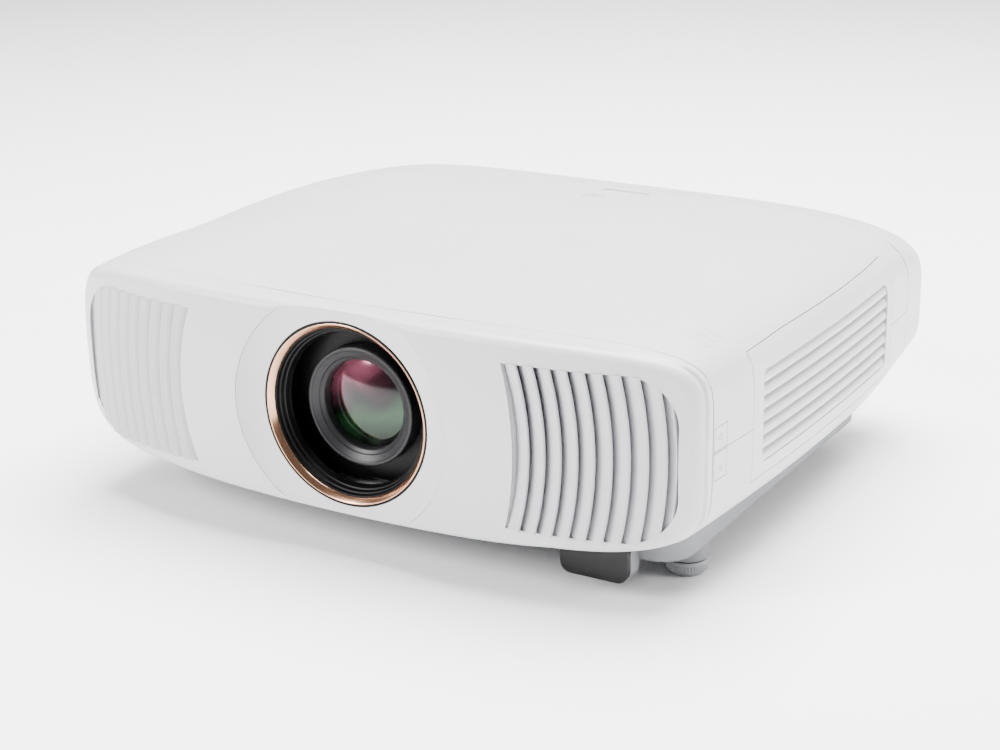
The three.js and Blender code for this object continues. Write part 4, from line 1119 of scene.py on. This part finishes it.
@dataclass
class LensOpening:
    """What shows in the dish: trim ring, stepped black funnel, lens rim and coated front glass."""

    z: float = 105.0

    def build(self) -> None:
        """Builds the turned pieces from the CAD's places along the lens."""
        centre = (0.0, self.z)
        ring, shroud = span("lens_trim_ring"), span("lens_shroud")
        rim, glass = span("lens_rim"), span("front_glass")
        front = ring[0][1]
        carrier = [(63.9, front + 0.9), (64.0, front + 0.25), (64.7, front + 0.05), (65.3, front + 0.5), (65.4, front + 3.6), (63.9, front + 3.6)]
        turned(carrier + carrier[:1], centre).build("trim_ring_carrier", BLACK_PC)
        band = [(63.9, front + 0.7), (63.7, front + 0.2), (63.0, front + 0.15), (60.6, front + 2.5), (59.7, front + 3.7), (59.5, front + 4.4), (63.9, front + 4.4)]
        turned(fillet(band, 0.35, 3) + band[:1], centre).build("lens_trim_band", ROSE_GOLD, stands_for=["lens_trim_ring"])
        back = shroud[1][1]
        start = front + 4.4
        funnel = [
            (63.0, start + 0.1), (59.4, start + 0.1), (58.9, start + 0.5), (58.2, start + 2.8), (57.2, start + 3.0),
            (56.4, start + 5.8), (55.4, start + 6.1), (54.4, back - 1.6), (53.9, back - 0.9), (54.0, back),
            (66.0, back), (66.0, back - 2.0), (63.0, back - 2.0),
        ]
        turned(fillet(funnel, 0.3, 2) + funnel[:1], centre).build("lens_funnel", BLACK_PC, stands_for=["lens_shroud"])
        self.build_rim(centre, rim, glass)

    def build_rim(self, centre: tuple, rim: tuple, glass: tuple) -> None:
        """The lens's front rim with its stepped throat, and the domed glass in it.

        Args:
            centre: the axis.
            rim: the rim's box.
            glass: the glass's box.
        """
        front, back = rim[0][1], rim[1][1]
        seat = glass[0][1]
        profile = [
            (42.5, back), (42.5, front + 1.4), (41.9, front + 0.3), (41.0, front), (39.8, front + 0.4),
            (39.2, front + 1.0), (35.2, front + 2.9), (34.9, front + 3.5), (32.5, seat - 0.6), (31.9, seat + 0.1),
            (31.8, back),
        ]
        turned(fillet(profile, 0.35, 3) + profile[:1], centre).build("lens_front_rim", LENS_RIM, body="lens", stands_for=["lens_rim"])
        dome = [(31.5 * t + 0.001, seat + 6.0 * t * t) for t in np.linspace(0, 1, 22)]
        turned(dome + [(31.5, back), (0.001, back)], centre).build(
            "lens_front_glass", GLASS_PAINTED_REFLECTION, body="lens", stands_for=["front_glass"], capped=True,
        )


@dataclass
class FilterDoor:
    """The side door: a panel on the case's surface with a louvred opening over the air filter."""

    corner: float = 5.0
    wall: float = 2.4

    def build(self) -> None:
        """The panel round the opening, and the louvres in it."""
        low, high = span("filter_door")
        vent_low, vent_high = np.array([low[1] + 14, low[2] + 9]), np.array([high[1] - 10, high[2] - 16])
        outer = rounded_loop(low[1:], high[1:], 1.2, 40, 6)
        inner = rounded_loop(vent_low, vent_high, self.corner, 40, 6)
        panel = CASE.on_side()(between(outer, inner, 7))
        Shape().patch(panel, loop=True).build(
            "filter_door_panel", WHITE_ABS, body="filter_door", stands_for=["filter_door"], inside=(0, 0, 105),
            wall=self.wall, bevel=0.3,
        )
        pitch = (vent_high[1] - vent_low[1]) / 7
        blades = Shape()
        for k in range(7):
            blades.patch(self.blade(vent_low, vent_high, vent_low[1] + pitch * k, pitch), loop=True)
        blades.build("filter_door_louvres", WHITE_ABS, body="filter_door", capped=True)
        rim = rounded_loop(vent_low, vent_high, self.corner, 40, 6)
        depths = [CASE.on_side(-back)(rim) for back in (0.6, 5.0, 11.5)]
        Shape().patch(np.stack(depths), loop=True).build(
            "filter_door_throat", WHITE_ABS, body="filter_door", inside=(400, 4, 113), wall=0.0,
        )

    def blade(self, low: np.ndarray, high: np.ndarray, z: float, pitch: float) -> np.ndarray:
        """One louvre: its section, a lip that curls up into a sloping web, carried along the opening.

        Args:
            low: the opening's lowest y and z.
            high: its highest y and z.
            z: the lip's lower edge.
            pitch: the distance from one louvre to the next.
        Returns:
            Stations by section points by 3.
        """
        section = [
            (-1.0, 0.35), (-0.55, 0.9), (-0.5, 2.2), (-0.75, 3.6), (-1.6, 5.2), (-3.4, 6.9), (-6.0, 8.4), (-9.0, 9.6),
            (-9.4, 8.5), (-6.5, 7.0), (-4.2, 5.4), (-2.8, 3.6), (-2.2, 1.8), (-1.7, 0.6),
        ]
        across, up = np.array(section).T
        y = np.linspace(low[0] - 0.8, high[0] + 0.8, 34)[:, None]
        height = z + up[None, :] * pitch / 9.14 + 0 * y
        height = np.minimum(height, high[1] + 1.5)
        return np.stack([CASE.side(y, np.full_like(height, z + 4)) + across[None, :] - 0.2, y + 0 * height, height], axis=-1)


@dataclass
class Keys:
    """The two side keys and their raised marks, and the three status lights on the top."""

    def build(self) -> None:
        """Builds the keys and the lights."""
        for node in ("power_button", "source_button"):
            low, high = span(node)
            loop = rounded_loop(low[1:], high[1:], 1.0, 8, 5)
            centre = (low[1:] + high[1:]) / 2
            rings = [(1.0, -5.0), (1.0, -0.35), (0.985, -0.08), (0.95, 0.0), (0.8, 0.0), (0.6, -0.15), (0.3, -0.3), (0.01, -0.33)]
            rows = [CASE.on_side(lift)(centre + (loop - centre) * share) for share, lift in rings]
            Shape().patch(np.stack(rows), loop=True).build(
                f"{node}_cap", WHITE_ABS, body=node, stands_for=[node], inside=(0, centre[0], centre[1]),
            )
            self.mark(node, centre)
        for number in (1, 2, 3):
            self.light(f"status_light_{number}")
        self.latch()
        self.pad_mark()

    def mark(self, node: str, centre: np.ndarray) -> None:
        """A generic mark printed on a key: an open ring with a bar for power, an arrow into a frame for source."""
        shape = Shape()
        reach = np.array([1.0, 1.35])
        if node == "power_button":
            turn = np.linspace(math.radians(-235), math.radians(55), 34)
            rows = [centre + r * 1.55 * np.stack([np.cos(turn), np.sin(turn)], axis=-1) for r in reach]
            shape.patch(CASE.on_side(-0.26)(np.stack(rows)))
            shape.patch(CASE.on_side(-0.26)(self.bar(centre + [0, 1.6], 0.25, 1.3)))
        else:
            shape.patch(CASE.on_side(-0.26)(self.bar(centre + [0.3, -4.0], 1.6, 0.22)))
            shape.patch(CASE.on_side(-0.26)(self.bar(centre + [1.9, -2.4], 0.22, 1.6)))
            shape.patch(CASE.on_side(-0.26)(self.bar(centre + [0.3, -0.8], 1.6, 0.22)))
            shape.patch(CASE.on_side(-0.26)(self.bar(centre + [-1.0, -2.4], 1.5, 0.25)))
        shape.build(f"{node}_mark", PRINT, body=node, inside=(0, centre[0], centre[1]), wall=-0.05)

    def bar(self, centre: np.ndarray, half_along: float, half_up: float) -> np.ndarray:
        """A small rectangle on the flank, as a grid of (y, z)."""
        along = np.linspace(-half_along, half_along, 5)[None, :]
        up = np.linspace(-half_up, half_up, 5)[:, None]
        return np.stack([centre[0] + along + 0 * up, centre[1] + up + 0 * along], axis=-1)

    def light(self, node: str) -> None:
        """One light pipe: a pill across the top, with a shaded seam round it."""
        low, high = span(node)
        for label, grow, lift, finish in (("seam", 0.35, 0.02, GAP_SHADE), ("pipe", 0.0, 0.10, LIGHT_PIPE)):
            loop = rounded_loop(low[:2] - grow, high[:2] + grow, 0.88 + grow, 14, 6)
            centre = (low[:2] + high[:2]) / 2
            rings = [(1.0, -2.0), (1.0, lift - 0.03), (0.96, lift), (0.5, lift + 0.02), (0.02, lift + 0.02)]
            rows = [CASE.on_top(rise)(centre + (loop - centre) * share) for share, rise in rings]
            Shape().patch(np.stack(rows), loop=True).build(
                f"{node}_{label}", finish, stands_for=[node] if label == "pipe" else (), inside=(*centre, 100),
            )

    def latch(self) -> None:
        """The rear cover's latch: a pill with a dished thumb grip, set just below the top."""
        low, high = span("rear_cover_latch")
        loop = rounded_loop(low[:2], high[:2], 3.6, 24, 8)
        centre = (low[:2] + high[:2]) / 2
        rings = [(1.0, -8.0), (1.0, -1.3), (0.98, -1.0), (0.9, -1.1), (0.7, -2.2), (0.3, -3.0), (0.02, -3.1)]
        rows = [CASE.on_top(lift)(centre + (loop - centre) * share) for share, lift in rings]
        # The grip's slightly darker tone is painted shade in its well.
        Shape().patch(np.stack(rows), loop=True).build(
            "rear_cover_latch_grip", SLAT_ABS_PAINTED_SHADE, stands_for=["rear_cover_latch"], inside=(*centre, 150), capped=True,
        )

    def pad_mark(self) -> None:
        """A small printed frame with a bar beside the latch, which shows which way it slides."""
        shape = Shape()
        outer = rounded_loop((12.5, 98.5), (27.5, 112.5), 2.0, 10, 5)
        inner = rounded_loop((13.2, 99.2), (26.8, 111.8), 1.4, 10, 5)
        shape.patch(CASE.on_top(0.06)(between(outer, inner, 2)), loop=True)
        arrow = np.array([[20.0, 109.5], [16.5, 104.5], [20.0, 105.6], [23.5, 104.5]])
        shape.patch(CASE.on_top(0.06)(np.stack([arrow[:2], arrow[[3, 2]]], axis=0)))
        shape.build("rear_cover_latch_mark", PRINT, inside=(20, 105, 100), wall=-0.05)


@dataclass
class Feet:
    """The adjustable front feet, the rear pads, and the bosses they stand in."""

    grips: int = 40

    def build(self) -> None:
        """Builds each foot at its own node's place."""
        for side in ("left", "right"):
            self.front(side)
            self.rear(side)

    def front(self, side: str) -> None:
        """A knurled wheel that turns on its screw, under a tapered boss."""
        node = f"front_foot_wheel_{side}"
        low, high = span(node)
        centre = ((low + high) / 2)[:2]
        r, top = (high[0] - low[0]) / 2, high[2]
        ribbed = np.array([0, 0, 0, 1, 1, 1, 0, 0, 0, 0])[:, None]

        def knurl(angle: np.ndarray, number: np.ndarray) -> np.ndarray:
            """Ribs round the rim: the radius falls by up to 0.7 mm between them."""
            return -0.7 * ribbed * (0.5 + 0.5 * np.cos(self.grips * angle)) ** 2

        profile = [(0.001, 0), (r - 3.2, 0), (r - 1.9, 2.6), (r, 3.4), (r, 5.5), (r, 7.6), (r - 0.5, 8.2), (r, 8.9), (r - 0.6, top), (0.001, top)]
        turned(profile, centre, "z", 240, knurl).build(
            f"{node}_knurled", FOOT_ABS, body=f"foot_wheel_{side}", stands_for=[node], capped=True,
        )
        # The boss's grey is painted shade under the case.
        boss = [(r + 0.4, top + 1.6), (r + 0.9, top + 2.4), (r + 1.2, 24.0), (r + 2.8, 34.0), (r - 2.4, 34.0), (r - 2.4, top + 1.6)]
        turned(fillet(boss, 0.5) + boss[:1], centre, "z", 96).build(f"front_foot_boss_{side}", GREY_ABS_PAINTED_SHADE)

    def rear(self, side: str) -> None:
        """A rubber pad, rounded at its edges, under a short boss."""
        node = f"rear_foot_{side}"
        low, high = span(node)
        centre = ((low + high) / 2)[:2]
        r, top = (high[0] - low[0]) / 2, high[2]
        profile = [(0.001, 0), (r - 2.6, 0), (r - 1.1, 1.4), (r - 0.6, 3.0), (r, 5.0), (r, top), (0.001, top)]
        turned(fillet(profile, 0.6), centre, "z", 96).build(f"{node}_pad", RUBBER, stands_for=[node], capped=True)
        # The boss's grey is painted shade under the case.
        boss = [(r, top + 0.3), (r + 0.6, top + 1.2), (r + 1.2, 26.0), (0.001, 26.0), (0.001, top + 0.3)]
        turned(fillet(boss, 0.5) + boss[:1], centre, "z", 96).build(f"{node}_boss", GREY_ABS_PAINTED_SHADE)


@dataclass
class Receiver:
    """The remote receiver under the front panel: a black window with rounded lower corners and its housing."""

    corner: float = 8.0

    def outline(self, inset: float) -> np.ndarray:
        """The window's outline, flat on top and rounded below, as (x, z)."""
        low, high = span("receiver_window")
        return rounded_loop((low[0] + inset, low[2] + inset), (high[0] - inset, high[2] + 10 - inset), self.corner - inset, 12, 10)

    def build(self) -> None:
        """The window, whose front edge is rounded, and the housing behind it, whose grey is painted shade."""
        low, high = span("receiver_window")
        top = high[2]
        for name, finish, stands_for, places in (
            ("receiver_window_lens", BLACK_ACRYLIC, ["receiver_window"], [(6, 0), (1.2, 0), (0.35, 0.15), (0, 0.6), (0, 4.9), (6, 4.9)]),
            ("receiver_housing", GREY_ABS_PAINTED_SHADE, (), [(6, 5.3), (0.2, 5.3), (0, 5.6), (0, 17.0)]),
        ):
            rows = []
            for inset, back in places:
                flat = self.outline(inset)
                rows.append(np.stack([flat[:, 0], np.full(len(flat), low[1] + back), np.minimum(flat[:, 1], top)], axis=-1))
            Shape().patch(np.stack(rows), loop=True).build(name, finish, stands_for=stands_for, capped=True)


@dataclass
class Connectors:
    """Small parts of the rear panel: the inlet's three pins and the network socket's contacts."""

    def prong(self, centre: Sequence[float], half: Sequence[float]) -> np.ndarray:
        """A round-nosed prong along Y: rows of a rounded rectangle that shrink at the nose."""
        rows = []
        for share, y in ((1.0, -half[1]), (1.0, half[1] * 0.6), (0.8, half[1] * 0.9), (0.4, half[1])):
            loop = rounded_loop((-half[0] * share, -half[2] * share), (half[0] * share, half[2] * share), 0.35 * share, 3, 3)
            rows.append(np.column_stack([centre[0] + loop[:, 0], np.full(len(loop), centre[1] + y), centre[2] + loop[:, 1]]))
        return np.stack(rows)

    def build(self) -> None:
        """Pins and contacts stand inside their sockets' mouths."""
        inlet, lan = middle("power_inlet"), middle("lan_port")
        pins = Shape()
        for across, up in ((-7.0, -1.5), (0.0, 2.5), (7.0, -1.5)):
            pins.patch(self.prong((inlet[0] + across, inlet[1] - 0.5, inlet[2] + up), (1.0, 5.0, 2.6)), loop=True)
        pins.build("power_inlet_pins", MILLED, capped=True)
        contacts = Shape()
        for k in range(8):
            at = (lan[0] + (k - 3.5) * 1.1, lan[1] - 1.0, lan[2] + 3.2)
            contacts.patch(self.prong(at, (0.25, 4.5, 0.5)), loop=True)
        contacts.build("lan_port_contacts", BRASS, capped=True)


@dataclass(frozen=True)
class Works:
    """The finishes of the pieces inside, whose CAD shapes stay as they are."""

    @staticmethod
    def finishes() -> dict[Finish, list[str]]:
        """Each finish and its nodes."""
        fans = ["exhaust_fan_left", "exhaust_fan_right", "intake_fan"]
        return {
            BLACK_PC: ["shutter_leaf_left", "shutter_leaf_right", "shutter_frame", "lens_baffle", "io_panel", "power_inlet"],
            DARK_ANODISED: ["lens_barrel", "lens_rear_tube", "focus_ring", "zoom_ring", "engine_housing"],
            FAN_PBT: [f"{fan}_{part}" for fan in fans for part in ("frame", "rotor")],
            MILLED: ["shift_plate_up", "shift_plate_across", "shift_base", "heat_sink"],
            ZINC_STEEL: [
                "panel_red", "panel_green", "panel_blue", "laser_module", "power_supply", "hdmi_port_1",
                "hdmi_port_2", "lan_port", "front_foot_stem_left", "front_foot_stem_right",
            ],
            BRASS: ["focus_pinion", "zoom_pinion", "phosphor_wheel"],
            GLASS_PAINTED_REFLECTION: ["colour_prism"],
            BOARD: ["main_board"],
            FELT: ["air_filter"],
        }

    def dress(self) -> None:
        """Gives every node that stays its finish."""
        for finish, nodes in self.finishes().items():
            for name in nodes:
                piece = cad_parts[name]
                material = finish.make()
                for place in piece.material_slots:
                    place.material = material
                if not piece.material_slots:
                    piece.data.materials.append(material)


@dataclass
class Studio:
    """A plain pale floor, soft lights and the camera. Distances in metres."""

    azimuth: float = 30.47
    elevation: float = 19.29
    roll: float = -0.79
    lens_mm: float = 73.47
    eye: tuple = (0.74016, -1.2647, 0.5788)
    shift: tuple = (-0.00107, 0.00216)
    surround: float = 0.2

    def light(self, name: str, place: Sequence[float], aim: Sequence[float], size: tuple, watts: float) -> None:
        """Adds a soft box.

        Args:
            name: the light's name.
            place: where it hangs.
            aim: what it faces.
            size: its width and height.
            watts: its power.
        """
        data = bpy.data.lights.new(name, "AREA")
        data.shape = "RECTANGLE"
        data.size, data.size_y = size
        data.energy = watts
        lamp = bpy.data.objects.new(name, data)
        bpy.context.scene.collection.objects.link(lamp)
        lamp.location = place
        lamp.rotation_euler = (Vector(aim) - Vector(place)).to_track_quat("-Z", "Y").to_euler()

    def build(self) -> None:
        """Builds the floor, the lights, the surroundings and the camera."""
        mesh = bpy.data.meshes.new("floor")
        mesh.from_pydata([(-30, -30, 0), (30, -30, 0), (30, 30, 0), (-30, 30, 0)], [], [(0, 1, 2, 3)])
        floor = bpy.data.objects.new("floor", mesh)
        bpy.context.scene.collection.objects.link(floor)
        mesh.materials.append(Finish("studio_paper", "", "#ffffff", "#fdfdfd", 0.9, relief_mm=0.0).make())
        self.light("overhead", (0.1, 0.5, 2.2), (0, 0, 0.1), (2.2, 2.0), 340)
        self.light("front_left", (-1.4, -1.9, 1.3), (0, 0, 0.1), (0.9, 1.2), 110)
        self.light("right", (2.1, 0.4, 0.9), (0.2, 0, 0.1), (0.8, 1.2), 45)
        world = bpy.data.worlds.new("studio")
        world.use_nodes = True
        world.node_tree.nodes["Background"].inputs["Color"].default_value = (1, 1, 1, 1)
        world.node_tree.nodes["Background"].inputs["Strength"].default_value = self.surround
        bpy.context.scene.world = world
        self.camera()

    def camera(self) -> None:
        """A long lens above and to the right of the front, with a slight roll."""
        data = bpy.data.cameras.new("camera")
        data.sensor_width = 36.0
        data.lens = self.lens_mm
        data.shift_x, data.shift_y = self.shift
        data.clip_end = 100.0
        camera = bpy.data.objects.new("camera", data)
        bpy.context.scene.collection.objects.link(camera)
        turn = Matrix.Rotation(math.radians(self.azimuth), 4, "Z") @ Matrix.Rotation(math.radians(90 - self.elevation), 4, "X")
        camera.matrix_world = Matrix.Translation(self.eye) @ turn @ Matrix.Rotation(math.radians(self.roll), 4, "Z")
        bpy.context.scene.camera = camera


def main() -> None:
    """Builds every sub-assembly in order."""
    logging.basicConfig(level=logging.INFO, format="%(message)s")
    Studio().build()
    shells = Shells()
    shells.build_top()
    shells.build_tray()
    shells.build_rear()
    fascia = Fascia()
    fascia.build_panel()
    fascia.build_dish()
    for side in Side:
        Grille(side).build()
    LensOpening().build()
    FilterDoor().build()
    Keys().build()
    Feet().build()
    Receiver().build()
    Connectors().build()
    Works().dress()


if __name__ == "__main__":
    main()
